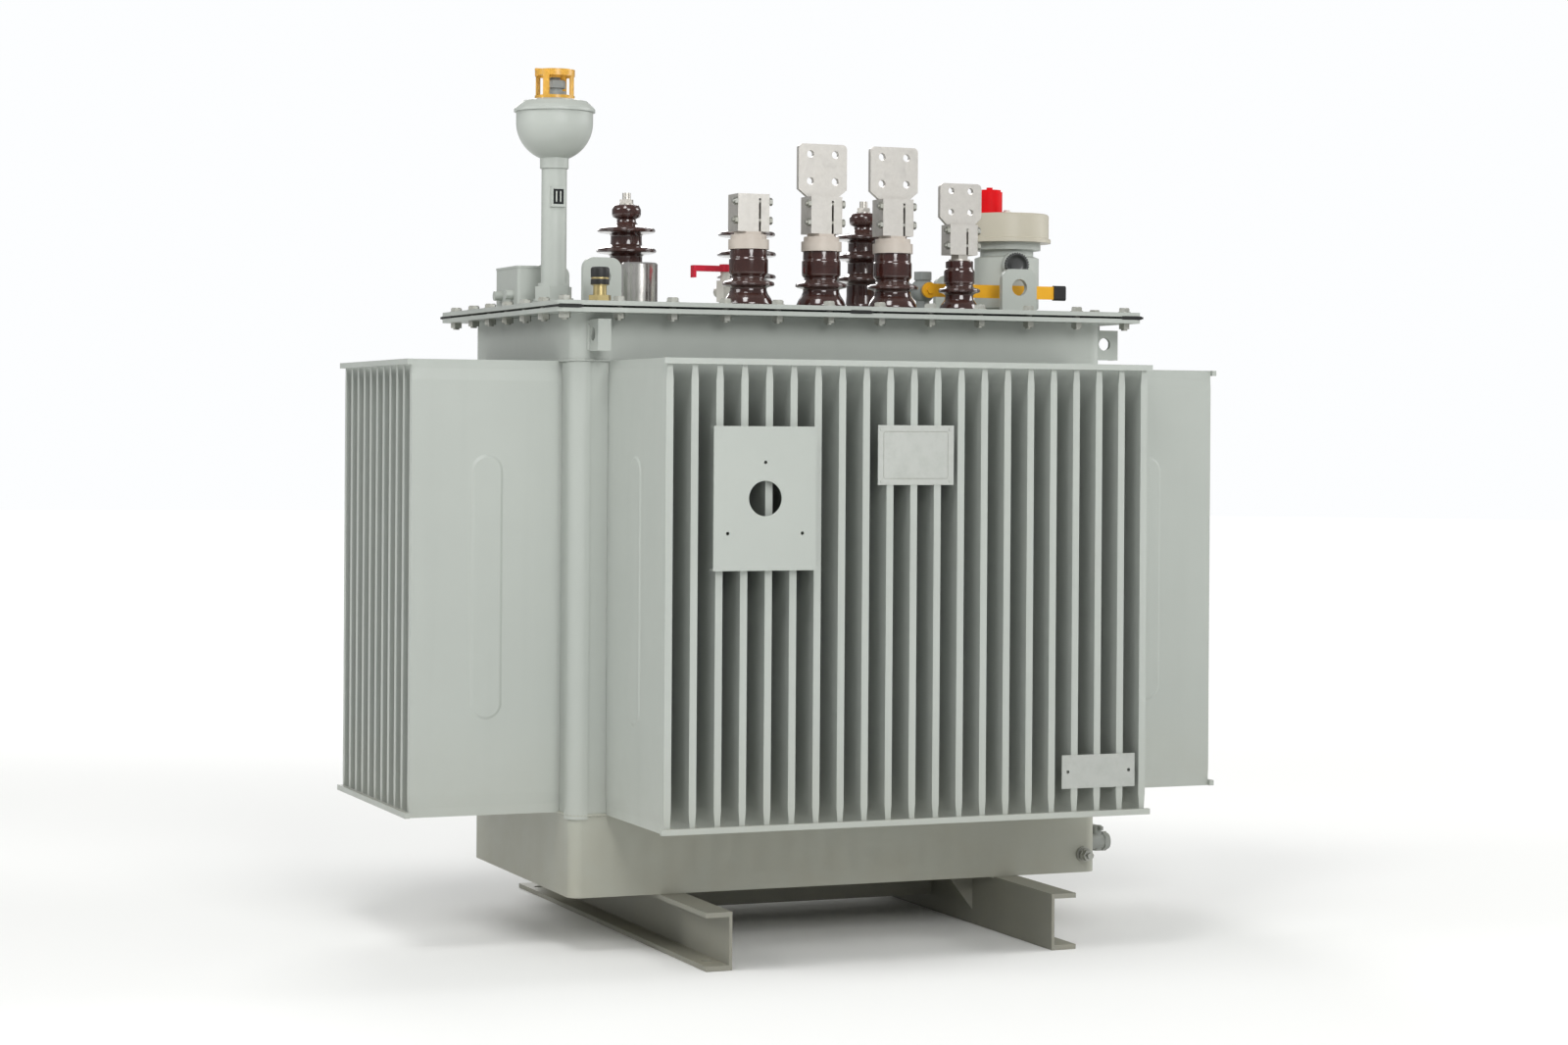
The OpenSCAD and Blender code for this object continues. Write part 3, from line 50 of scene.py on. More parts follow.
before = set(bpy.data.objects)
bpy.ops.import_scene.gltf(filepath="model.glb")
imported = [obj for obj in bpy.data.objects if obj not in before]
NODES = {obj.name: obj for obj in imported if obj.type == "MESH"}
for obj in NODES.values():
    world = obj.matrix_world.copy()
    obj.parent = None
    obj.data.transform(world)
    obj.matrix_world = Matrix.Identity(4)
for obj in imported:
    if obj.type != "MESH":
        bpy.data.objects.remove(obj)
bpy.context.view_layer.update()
TANK_BODY = "transformer"
MM_PER_M = 1000.0
FULL_TURN = 2 * math.pi

# Places on the frame where details are laid, metres
PAN_SEAM = (1.041, 0.591, 0.0225, 0.245)  # length, width, corner radius and height of the loop
BAND_SEAM = (1.049, 0.599, 0.0265, 1.0455)
HV_SHED_RADIUS = 0.058
FIN_BEAD_CENTRE_Z = 0.646
PLATE_CENTRE = (0.003, -0.5971, 0.883)
PORT_Z = 1.248
GASKET_Z = 1.138


# ---------- colours and shader nodes ----------


def linear(code):
    """sRGB hex text such as '#b0b5b1' as three linear values."""
    c = np.array([int(code[i : i + 2], 16) for i in (1, 3, 5)]) / 255.0
    return tuple(np.where(c <= 0.04045, c / 12.92, ((c + 0.055) / 1.055) ** 2.4).tolist())


def rgba(colour):
    """Three linear values with full alpha."""
    return (*tuple(colour)[:3], 1.0)


def shade(colour, factor):
    """A darker or lighter version of a linear colour, with full alpha."""
    return (*(min(1.0, c * factor) for c in tuple(colour)[:3]), 1.0)


def add(tree, kind, settings=None, inputs=None):
    """Adds one node. Settings are its attributes; inputs are socket values, or output sockets to link."""
    node = tree.nodes.new("ShaderNode" + kind)
    for key, value in (settings or {}).items():
        setattr(node, key, value)
    for key, value in (inputs or {}).items():
        if isinstance(value, bpy.types.NodeSocket):
            tree.links.new(value, node.inputs[key])
        else:
            node.inputs[key].default_value = value
    return node


def new_material(name):
    """An empty material: its tree, its Principled shader and its object coordinates (metres)."""
    material = bpy.data.materials.new(name)
    material.use_nodes = True
    tree = material.node_tree
    shader = tree.nodes["Principled BSDF"]
    place = add(tree, "TexCoord").outputs["Object"]
    return material, tree, shader, place


def mix(tree, factor, a, b, blend="MIX"):
    """Colour a turned into b by a factor."""
    node = add(
        tree,
        "Mix",
        {"data_type": "RGBA", "blend_type": blend},
        {0: factor, 6: a, 7: b},
    )
    return node.outputs[2]


def noise(tree, place, cells, detail, roughness=0.5, distortion=0.0):
    """Cloudy noise between 0 and 1, with so many cells to the metre."""
    inputs = {"Vector": place, "Scale": cells, "Detail": detail}
    inputs |= {"Roughness": roughness, "Distortion": distortion}
    return add(tree, "TexNoise", None, inputs).outputs["Fac"]


def ramp(tree, value, start, end, low, high):
    """Low until the value reaches start, high once it reaches end, and a straight line between."""
    inputs = {"Value": value, "From Min": start, "From Max": end, "To Min": low, "To Max": high}
    return add(tree, "MapRange", None, inputs).outputs[0]


def upward(tree, start, most):
    """Nothing until a face's normal has height start, then up to most where it looks straight up."""
    normal = add(tree, "NewGeometry").outputs["Normal"]
    return ramp(tree, add(tree, "SeparateXYZ", None, {0: normal}).outputs["Z"], start, 1.0, 0.0, most)


def bump(tree, height, strength, depth, under=None):
    """A bumped normal from a height between 0 and 1, its depth in metres, over another if one is given."""
    inputs = {"Strength": strength, "Distance": depth, "Height": height}
    if under is not None:
        inputs["Normal"] = under
    return add(tree, "Bump", None, inputs).outputs[0]


def finish(tree, shader, colour, roughness, normal):
    """Links a shader's colour, roughness and normal."""
    tree.links.new(colour, shader.inputs["Base Color"])
    tree.links.new(roughness, shader.inputs["Roughness"])
    tree.links.new(normal, shader.inputs["Normal"])


def enamel(name, colour, dust_colour, gloss=0.38, dust_low=0.10, dust_high=0.42, dust=0.5):
    """Sprayed alkyd enamel on steel: semi-gloss with orange peel, faint run-down streaks and a film of
    warm dust that thickens towards the ground and on upward faces."""
    material, tree, shader, place = new_material(name)
    # Paint thickness varies over about 300 mm, and streaks are about 45 mm wide
    clouds = noise(tree, place, 3.2, 4.0, 0.55)
    body = mix(tree, clouds, shade(colour, 0.93), shade(colour, 1.06))
    stretched = add(tree, "Mapping", None, {"Vector": place, "Scale": (22.0, 22.0, 1.1)}).outputs[0]
    streaks = ramp(tree, noise(tree, stretched, 1.0, 3.0), 0.52, 0.78, 0.0, 0.22)
    body = mix(tree, streaks, body, shade(colour, 0.86))
    # Dust lies in patches of about 70 mm
    height = add(tree, "SeparateXYZ", None, {0: place}).outputs["Z"]
    low = ramp(tree, height, dust_high, dust_low, 0.0, dust)
    up = upward(tree, 0.5, 0.30)
    settled = add(tree, "Math", {"operation": "ADD", "use_clamp": True}, {0: low, 1: up}).outputs[0]
    patches = noise(tree, place, 14.0, 6.0, 0.62)
    dusty = add(tree, "Math", {"operation": "MULTIPLY"}, {0: settled, 1: patches}).outputs[0]
    body = mix(tree, dusty, body, rgba(dust_colour))
    # Orange peel is about 2 mm in real paint, drawn here at about 5 mm so that it shows. The sheet
    # under it waves over about 110 mm.
    peel = bump(tree, noise(tree, place, 190.0, 2.0), 0.28, 0.00025)
    relief = bump(tree, noise(tree, place, 9.0, 2.0), 0.22, 0.006, peel)
    finish(tree, shader, body, ramp(tree, patches, 0.0, 1.0, gloss - 0.05, gloss + 0.14), relief)
    shader.inputs["IOR"].default_value = 1.5
    return material


def metal(name, colour, stain, roughness, grain_mm, grain_depth=0.12, stained=0.35):
    """Bare or plated metal: a fine grain from how it was made, and duller stains about 26 mm wide."""
    material, tree, shader, place = new_material(name)
    blotches = noise(tree, place, 38.0, 5.0, 0.6)
    body = mix(tree, ramp(tree, blotches, 0.42, 0.72, 0.0, stained), rgba(colour), rgba(stain))
    dull = ramp(tree, blotches, 0.3, 0.75, roughness, roughness + 0.18)
    grain = noise(tree, place, MM_PER_M / grain_mm, 3.0)
    finish(tree, shader, body, dull, bump(tree, grain, grain_depth, 0.0004))
    shader.inputs["Metallic"].default_value = 1.0
    return material


def moulded(name, colour, roughness, texture_mm=1.5, depth=0.10, transmission=0.0, coat=0.0, specular=0.5):
    """Moulded plastic, rubber or resin: an even colour with flow marks about 40 mm long and a fine
    mould texture."""
    material, tree, shader, place = new_material(name)
    flow = noise(tree, place, 24.0, 3.0, distortion=0.8)
    body = mix(tree, flow, shade(colour, 0.88), shade(colour, 1.10))
    skin = noise(tree, place, MM_PER_M / texture_mm, 2.0)
    sheen = ramp(tree, flow, 0.0, 1.0, roughness - 0.06, roughness + 0.08)
    finish(tree, shader, body, sheen, bump(tree, skin, depth, 0.0003))
    shader.inputs["IOR"].default_value = 1.49
    shader.inputs["Transmission Weight"].default_value = transmission
    shader.inputs["Specular IOR Level"].default_value = specular
    shader.inputs["Coat Weight"].default_value = coat
    shader.inputs["Coat Roughness"].default_value = 0.08
    return material


def glaze(name, colour, thin_colour):
    """Fired brown feldspathic glaze: glassy, a little redder where it ran thin, and dusty on top."""
    material, tree, shader, place = new_material(name)
    # Glaze pools over about 33 mm round the body and 17 mm up it
    runs = add(tree, "Mapping", None, {"Vector": place, "Scale": (30.0, 30.0, 60.0)}).outputs[0]
    pooled = noise(tree, runs, 1.0, 4.0)
    body = mix(tree, pooled, rgba(colour), rgba(thin_colour))
    body = mix(tree, upward(tree, 0.35, 0.16), body, rgba(linear("#8d8078")))
    waves = bump(tree, noise(tree, place, 120.0, 1.0), 0.12, 0.0006)
    finish(tree, shader, body, ramp(tree, pooled, 0.0, 1.0, 0.07, 0.20), waves)
    shader.inputs["IOR"].default_value = 1.56
    shader.inputs["Coat Weight"].default_value = 0.5
    shader.inputs["Coat Roughness"].default_value = 0.05
    return material


# ---------- shapes ----------


def softened(profile, radius, steps=4):
    """Rounds the corners of a profile: each corner becomes a quadratic curve that starts and ends at most
    the radius away from it, and never past the middle of an edge."""
    p = np.asarray(profile, float)
    before, corner, after = p[:-2], p[1:-1], p[2:]
    lb = np.linalg.norm(before - corner, axis=1, keepdims=True)
    la = np.linalg.norm(after - corner, axis=1, keepdims=True)
    a = corner + (before - corner) * np.minimum(radius, lb * 0.5) / lb
    b = corner + (after - corner) * np.minimum(radius, la * 0.5) / la
    t = np.linspace(0, 1, steps + 1)[None, :, None]
    curve = (1 - t) ** 2 * a[:, None] + 2 * t * (1 - t) * corner[:, None] + t**2 * b[:, None]
    return np.vstack([p[:1], curve.reshape(-1, 2), p[-1:]])


def grid_faces(rows, columns, closed_rows, closed_columns, offset=0):
    """Quads of a grid of points stored row by row, as index arrays; closed ways wrap round."""
    i = np.arange(rows if closed_rows else rows - 1)
    j = np.arange(columns if closed_columns else columns - 1)
    i, j = np.meshgrid(i, j, indexing="ij")
    i2, j2 = (i + 1) % rows, (j + 1) % columns
    quads = np.stack([i * columns + j, i * columns + j2, i2 * columns + j2, i2 * columns + j], -1)
    return quads.reshape(-1, 4) + offset


def make_piece(name, points, faces, material, body=TANK_BODY, slot=None, smooth=True):
    """A mesh object from arrays of points and faces, with its material, riding on a body."""
    mesh = bpy.data.meshes.new(name)
    mesh.from_pydata(np.asarray(points, float).reshape(-1, 3).tolist(), [], faces)
    mesh.update()
    mesh.polygons.foreach_set("use_smooth", np.full(len(mesh.polygons), smooth))
    mesh.materials.append(material)
    piece = bpy.data.objects.new(name, mesh)
    bpy.context.scene.collection.objects.link(piece)
    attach(piece, body)
    return piece


def turned(profile, centre, segments=72):
    """Points and faces of a profile of (radius, height) pairs, going up its outside, carried round a
    vertical axis: point (i, j) is at radius r_i and angle 2 pi j / segments. Ends at radius 0 become
    one point."""
    profile = np.asarray(profile, float)
    open_low, open_high = profile[0, 0] > 1e-9, profile[-1, 0] > 1e-9
    rings = profile[(0 if open_low else 1) : (len(profile) if open_high else -1)]
    angle = np.linspace(0, FULL_TURN, segments, endpoint=False)
    x = centre[0] + rings[:, :1] * np.cos(angle)
    y = centre[1] + rings[:, :1] * np.sin(angle)
    z = np.repeat(centre[2] + rings[:, 1:], segments, axis=1)
    points = np.stack([x, y, z], -1).reshape(-1, 3)
    faces = grid_faces(len(rings), segments, False, True).tolist()
    around = np.arange(segments)
    following = (around + 1) % segments
    if not open_low:
        faces += np.stack([np.full(segments, len(points)), following, around], -1).tolist()
        points = np.vstack([points, [centre[0], centre[1], centre[2] + profile[0, 1]]])
    if not open_high:
        last = (len(rings) - 1) * segments
        faces += np.stack([np.full(segments, len(points)), last + around, last + following], -1).tolist()
        points = np.vstack([points, [centre[0], centre[1], centre[2] + profile[-1, 1]]])
    return points, faces


def joined(parts):
    """Several (points, faces) pairs as one."""
    points, faces, offset = [], [], 0
    for p, f in parts:
        points.append(np.asarray(p, float).reshape(-1, 3))
        faces += [[k + offset for k in face] for face in f]
        offset += len(points[-1])
    return np.vstack(points), faces


def bead_along(path, radius, closed, up=(0, 0, 1), ripple=0.006, sides=6, uneven=0.12):
    """A round section carried along a path. On a weld bead its radius grows and shrinks once per ripple
    length by the uneven share, as the solidified puddles of a weld do."""
    p = np.asarray(path, float)
    ahead = np.roll(p, -1, 0) - np.roll(p, 1, 0)
    if not closed:
        ahead[0], ahead[-1] = p[1] - p[0], p[-1] - p[-2]
    ahead /= np.linalg.norm(ahead, axis=1, keepdims=True)
    side = np.cross(ahead, np.asarray(up, float))
    side /= np.linalg.norm(side, axis=1, keepdims=True)
    top = np.cross(side, ahead)
    step = np.linalg.norm(np.diff(p, axis=0), axis=1)
    along = np.concatenate([[0], np.cumsum(step)])
    swell = radius * (1 + uneven * np.sin(FULL_TURN * along / ripple))
    angle = np.linspace(0, FULL_TURN, sides, endpoint=False)
    ring = np.cos(angle)[None, :, None] * side[:, None] + np.sin(angle)[None, :, None] * top[:, None]
    points = p[:, None] + ring * swell[:, None, None]
    faces = grid_faces(len(p), sides, closed, True)[:, ::-1].tolist()
    if not closed:
        last = (len(p) - 1) * sides
        faces += [list(range(sides)), list(range(last + sides - 1, last - 1, -1))]
    return points.reshape(-1, 3), faces


def straight(a, b, step=0.0015):
    """Evenly spaced points from a to b."""
    a, b = np.asarray(a, float), np.asarray(b, float)
    n = max(3, int(np.linalg.norm(b - a) / step))
    return a + (b - a) * np.linspace(0, 1, n)[:, None]


def rounded_loop(length, width, radius, z, step=0.0015):
    """Evenly spaced points round a rectangle with rounded corners, anticlockwise from above."""
    ax, ay = length / 2 - radius, width / 2 - radius
    loop = []
    for cx, cy, start in ((ax, ay, 0.0), (-ax, ay, 0.5), (-ax, -ay, 1.0), (ax, -ay, 1.5)):
        angle = (start + np.linspace(0, 0.5, 13)) * math.pi
        loop.append(np.stack([cx + radius * np.cos(angle), cy + radius * np.sin(angle)], -1))
    loop = np.vstack(loop)
    loop = np.vstack([loop, loop[:1]])
    along = np.concatenate([[0], np.cumsum(np.linalg.norm(np.diff(loop, axis=0), axis=1))])
    n = int(along[-1] / step)
    at = np.linspace(0, along[-1], n, endpoint=False)
    x, y = np.interp(at, along, loop[:, 0]), np.interp(at, along, loop[:, 1])
    return np.stack([x, y, np.full(n, z)], -1)


def middle(node):
    """The middle of a frame node's box in x and y."""
    low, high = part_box(node)
    return (low.x + high.x) / 2, (low.y + high.y) / 2


def aimed(at, right, up, back):
    """A matrix that places an object at a point, with its own x, y and z along three directions."""
    turn = Matrix(np.stack([right, up, back], 1).tolist())
    return Matrix.Translation(at) @ turn.to_4x4()


def paint_nodes(groups):
    """Gives frame nodes their finish in every material slot, from material to node names."""
    for material, names in groups.items():
        for node in names.split():
            mesh = NODES[node].data
            if not mesh.materials:
                mesh.materials.append(material)
            for i in range(len(mesh.materials)):
                mesh.materials[i] = material


# ---------- settings ----------


def colour_property(name, description, code):
    """A colour setting with its default from an sRGB hex value."""
    return FloatVectorProperty(
        name=name, description=description, subtype="COLOR", size=3, min=0.0, max=1.0, default=linear(code)
    )


def length_property(name, description, default, low, high):
    """A length setting in metres."""
    return FloatProperty(name=name, description=description, default=default, min=low, max=high, unit="LENGTH")


def power_property(name, description, default):
    """A light's power in watts."""
    return FloatProperty(name=name, description=description, default=default, min=0, max=5000, unit="POWER")


class TransformerFinish(bpy.types.PropertyGroup):
    """Colours of the painted, fired, cast and moulded parts."""

    tank: colour_property("Tank enamel", "Enamel of the tank, fins and fittings", "#a9aea8")
    cover: colour_property("Cover enamel", "Enamel of the cover and sheet plates", "#a9aea8")
    pan: colour_property("Pan enamel", "Enamel of the pan and base channels", "#a3a69c")
    # The channels' colour is darker than the pan's as painted shade from the tank over them, besides their
    # dulled, dusty paint
    base: colour_property("Channel enamel", "Enamel of the base channels, dulled by handling", "#82837a")
    drum: colour_property("Drum enamel", "Enamel of the relief drum", "#b3ae9e")
    dust: colour_property("Dust", "Settled dust", "#9c9785")
    porcelain: colour_property("Glaze", "Porcelain glaze where it is thick", "#251210")
    porcelain_thin: colour_property("Thin glaze", "Porcelain glaze where it ran thin", "#43231d")
    terminal: colour_property("Terminal metal", "Tinned cast aluminium", "#d3d0ca")
    brass: colour_property("Brass", "Machined brass fittings", "#c6b583")
    guard: colour_property("Vent guard", "Amber plastic of the vent guard", "#e8b54d")
    red: colour_property("Red cap", "Red plastic of the switch cap", "#cc0610")
    lever: colour_property("Lever yellow", "Enamel of the long lever", "#e6a91c")
    collar: colour_property("Collar resin", "Cast resin of the bushing collars", "#bab1a7")


class TransformerShape(bpy.types.PropertyGroup):
    """Sizes of the details that are laid over the frame."""

    glaze_round: length_property("Shed rounding", "Corner radius of the porcelain sheds", 0.0018, 0.0005, 0.01)
    weld_radius: length_property("Weld size", "Radius of a weld bead", 0.003, 0.001, 0.006)
    bead_height: length_property(
        "Fin bead height", "Height of the beads on the outer fins", 0.0022, 0.001, 0.004
    )
    knurls: IntProperty(
        name="Knurls", description="Number of ridges round the sight port", default=30, min=8, max=80
    )


class StudioSettings(bpy.types.PropertyGroup):
    """Camera and light."""

    lens: FloatProperty(
        name="Lens",
        description="Focal length on a 36 mm sensor",
        default=72.43,
        min=20,
        max=200,
        unit="CAMERA",
    )
    eye: FloatVectorProperty(
        name="Eye",
        description="Camera position",
        default=(-2.2731, -5.5584, 0.9223),
        subtype="TRANSLATION",
        unit="LENGTH",
    )
    turn: FloatProperty(
        name="Turn",
        description="Camera heading, clockwise from +Y",
        default=math.radians(22.243),
        subtype="ANGLE",
        unit="ROTATION",
    )
    tilt: FloatProperty(
        name="Roll", description="Camera roll", default=0.0066, subtype="ANGLE", unit="ROTATION"
    )
    key: power_property("Key light", "Power of each main softbox before its share", 245.0)
    fill: power_property("Fill light", "Power of each fill softbox", 150.0)
    sky: FloatProperty(
        name="Ambient", description="Strength of the even surrounding light", default=0.33, min=0, max=5
    )
    floor: colour_property("Floor", "Plain floor", "#f1f1ef")


# ---------- operators ----------


class EnamelTank(bpy.types.Operator):
    """Sprays the tank, base, cover and other painted steel"""

    bl_idname = "transformer.enamel_tank"
    bl_label = "Enamel the painted steel"

    def execute(self, context):
        c = context.scene.transformer_finish
        # Sprayed enamel: broad soft highlights, broken a little by orange peel
        tank = enamel("tank_enamel", c.tank, c.dust)
        cover = enamel("cover_enamel", c.cover, c.dust, gloss=0.34)
        # The pan and channels are splashed and handled, so they look flatter and warmer. The channels' darker
        # colour is also painted shade, standing for the shadow under the tank
        pan = enamel("pan_enamel", c.pan, c.dust, gloss=0.46, dust_low=0.0, dust_high=0.5, dust=0.9)
        base = enamel("channel_enamel_and_painted_shade", c.base, c.dust, gloss=0.5, dust_low=0.0, dust_high=0.3, dust=0.6)
        # The drum has its own creamier paint
        drum = enamel("drum_enamel", c.drum, c.dust, gloss=0.36)
        grey = enamel("valve_enamel", linear("#8b908e"), c.dust, gloss=0.42)
        # Bright lever enamels, glossier and cleaner than the tank
        yellow = enamel("lever_yellow_enamel", c.lever, c.dust, gloss=0.32, dust=0.2)
        red = enamel("lever_red_enamel", linear("#d2203a"), c.dust, gloss=0.30, dust=0.2)
        groups = {
            tank: "fin_wall_front fin_wall_rear fin_wall_left fin_wall_right corner_posts fin_tie_bars"
            " upper_band tank_flange tank_hooks lifting_lugs filler_pipe filler_bowl relief_turret",
            cover: "cover_plate gauge_plate filler_lid wiring_box",
            pan: "tank_pan",
            base: "base_channel_left base_channel_right base_stiffeners",
            drum: "relief_housing",
            grey: "vent_valve tap_changer_body relief_disc core_clamps filling_valve_body drain_cock_body"
            " drain_cock_plug",
            yellow: "filling_lever",
            red: "sampling_lever",
        }
        paint_nodes(groups)
        return {"FINISHED"}


class FinishMetals(bpy.types.Operator):
    """Finishes the bare, plated and polished metal parts"""

    bl_idname = "transformer.finish_metals"
    bl_label = "Finish the bare metals"

    def execute(self, context):
        c = context.scene.transformer_finish
        # Zinc plating: a pale grey bloom, yellowed in places
        zinc = metal("zinc_plated_steel", linear("#b1b2ac"), linear("#8f8c78"), 0.44, 1.2)
        # Rolled aluminium: silky and almost without grain
        plate = metal("blank_plate_aluminium", linear("#bdc0bb"), linear("#a8aba5"), 0.46, 0.8, 0.05)
        # Sand casting leaves a grain of about 1.6 mm, dulled by tinning
        cast = metal("tinned_cast_aluminium", c.terminal, linear("#a9a6a0"), 0.36, 1.6, 0.22, 0.45)
        # Turned brass: warm yellow with bright highlights, browner where handled
        brass = metal("machined_brass", c.brass, linear("#7d6434"), 0.28, 1.0)
        # A dull grey tin coat over copper, with a trace of the tarnish under it
        stud = metal("tinned_copper_stud", linear("#cfccc5"), linear("#8f887c"), 0.30, 1.0)
        # Drawn copper: salmon pink with darker tarnish
        copper = metal("drawn_copper", linear("#c58059"), linear("#6d4330"), 0.30, 1.0)
        # Polished sheet mirrors its surroundings, broken only by faint handling marks
        polished = metal("polished_steel_cap", linear("#dbd9d5"), linear("#b5b1aa"), 0.13, 4.0, 0.06, 0.3)
        # Tempered wire: dark grey with a narrow highlight
        wire = metal("spring_wire", linear("#85888a"), linear("#55585a"), 0.35, 0.8)
        # Coated silicon steel: flat blue-grey
        core = metal("electrical_steel", linear("#70757a"), linear("#4b4f53"), 0.45, 0.6)
        groups = {
            zinc: "cover_bolts clamp_screws earth_stud",
            plate: "rating_plate",
            cast: "lv_terminal_a lv_terminal_b lv_terminal_c neutral_terminal",
            brass: "thermometer_pocket tap_rotor",
            stud: "hv_studs lv_studs",
            copper: "internal_leads",
            polished: "tap_cap",
            wire: "relief_spring",
            core: "core",
        }
        paint_nodes(groups)
        return {"FINISHED"}


class FinishMouldings(bpy.types.Operator):
    """Finishes the plastic, rubber, resin, paper and glass parts"""

    bl_idname = "transformer.finish_mouldings"
    bl_label = "Finish plastics and rubber"

    def execute(self, context):
        c = context.scene.transformer_finish
        # Nitrile rubber: almost black and matt
        gasket = moulded("nitrile_gasket_rubber", linear("#1a1b1a"), 0.72, 1.0, 0.2)
        # Dipped rubber: black with a soft sheen
        grip = moulded("dipped_grip_rubber", linear("#151515"), 0.48, 1.2, 0.2)
        # Clear amber plastic: some light passes through, so it glows
        amber = moulded("amber_guard_plastic", c.guard, 0.24, 2.0, 0.05, transmission=0.35)
        # Moulded red plastic: a deep colour with hardly any highlight
        red = moulded("red_cap_plastic", c.red, 0.55, 1.5, 0.06, specular=0.15)
        # White plastic: bright with a small clean highlight
        white = moulded("white_valve_plastic", linear("#dad8d0"), 0.36)
        # Cast resin: warm grey and satin
        collar = moulded("cast_resin_collar", c.collar, 0.44, 1.4, 0.12)
        # Glass over a dark tube: black with a sharp reflection
        glass = moulded("sight_glass", linear("#15191a"), 0.12, 6.0, 0.02, coat=0.8)
        # Pressed paper: brown, fibrous and matt
        paper = moulded("pressed_paper_winding", linear("#b08a5a"), 0.8, 2.5, 0.4)
        groups = {
            gasket: "cover_gasket",
            grip: "lever_grip",
            amber: "vent_guard",
            red: "switch_cap level_float",
            white: "sampling_valve_body signal_pin",
            collar: "lv_collars",
            glass: "level_window",
            paper: "windings",
        }
        paint_nodes(groups)
        return {"FINISHED"}


HV_PROFILE = [
    (0.0085, 0), (0.047, 0), (0.047, 0.012), (0.040, 0.018), (0.0345, 0.028), (0.033, 0.045), (0.033, 0.066),
    (0.036, 0.0695), (0.0560, 0.0730), (0.058, 0.0755), (0.0575, 0.0790), (0.0550, 0.0812), (0.036, 0.0850),
    (0.0315, 0.088),
    (0.031, 0.099), (0.031, 0.110), (0.036, 0.114), (0.0560, 0.1172), (0.058, 0.1197), (0.0575, 0.1232),
    (0.0550, 0.1254), (0.036, 0.129), (0.0305, 0.132), (0.030, 0.141), (0.030, 0.150), (0.034, 0.1535),
    (0.0540, 0.1565),
    (0.056, 0.1590), (0.0555, 0.1625), (0.0530, 0.1645), (0.033, 0.168), (0.024, 0.171), (0.019, 0.176),
    (0.018, 0.182),
    (0.026, 0.1855), (0.028, 0.191), (0.028, 0.201), (0.024, 0.209), (0.0085, 0.209),
]  # radius and height of the high-voltage porcelain, from foot to head, metres

LV_PROFILE = [
    (0.0155, 0), (0.046, 0), (0.046, 0.009), (0.042, 0.018), (0.036, 0.027), (0.0335, 0.034), (0.034, 0.038),
    (0.038, 0.0392), (0.0465, 0.0412), (0.048, 0.0435), (0.0475, 0.0470), (0.0455, 0.0488), (0.038, 0.0510),
    (0.0325, 0.0530),
    (0.0312, 0.055), (0.0315, 0.0590), (0.0345, 0.0612), (0.036, 0.0645), (0.036, 0.077), (0.036, 0.0895),
    (0.034, 0.0925), (0.034, 0.108), (0.0155, 0.108),
]  # the same for the phase porcelains of the low-voltage side

NEUTRAL_PROFILE = [
    (0.0105, 0), (0.038, 0), (0.038, 0.008), (0.034, 0.016), (0.028, 0.024), (0.0265, 0.034), (0.031, 0.0372),
    (0.0385, 0.0386), (0.040, 0.0408), (0.0395, 0.0436), (0.0380, 0.0452), (0.031, 0.0468), (0.0265, 0.049),
    (0.026, 0.0530),
    (0.0285, 0.0552), (0.029, 0.058), (0.029, 0.078), (0.0275, 0.0815), (0.026, 0.084), (0.026, 0.098),
    (0.0105, 0.098),
]  # the same for the neutral porcelain


class TurnPorcelains(bpy.types.Operator):
    """Turns the glazed porcelain bushings with rounded sheds"""

    bl_idname = "transformer.turn_porcelains"
    bl_label = "Turn the porcelains"

    def execute(self, context):
        c, s = context.scene.transformer_finish, context.scene.transformer_shape
        # Thick brown glaze: near black with small sharp highlights
        fired = glaze("brown_porcelain_glaze", c.porcelain, c.porcelain_thin)
        hv_low, hv_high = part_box("hv_porcelains")
        cover_top = hv_low.z
        hv_mid, hv_y = middle("hv_porcelains")
        hv_x = (hv_low.x + HV_SHED_RADIUS, hv_mid, hv_high.x - HV_SHED_RADIUS)
        lv_x, lv_y = (-0.142, 0.003, 0.148), -0.170
        neutral_x = 0.286
        sets = (
            ("hv_porcelain_set", "hv_porcelains", HV_PROFILE, hv_x, hv_y),
            ("lv_porcelain_set", "lv_porcelains", LV_PROFILE, lv_x, lv_y),
            ("neutral_porcelain_body", "neutral_porcelain", NEUTRAL_PROFILE, (neutral_x,), lv_y),
        )
        for name, node, profile, places, y in sets:
            outline = softened(profile, s.glaze_round)
            bodies = joined([turned(outline, (x, y, cover_top)) for x in places])
            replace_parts(make_piece(name, *bodies, fired, slot="porcelain"), node)
        return {"FINISHED"}


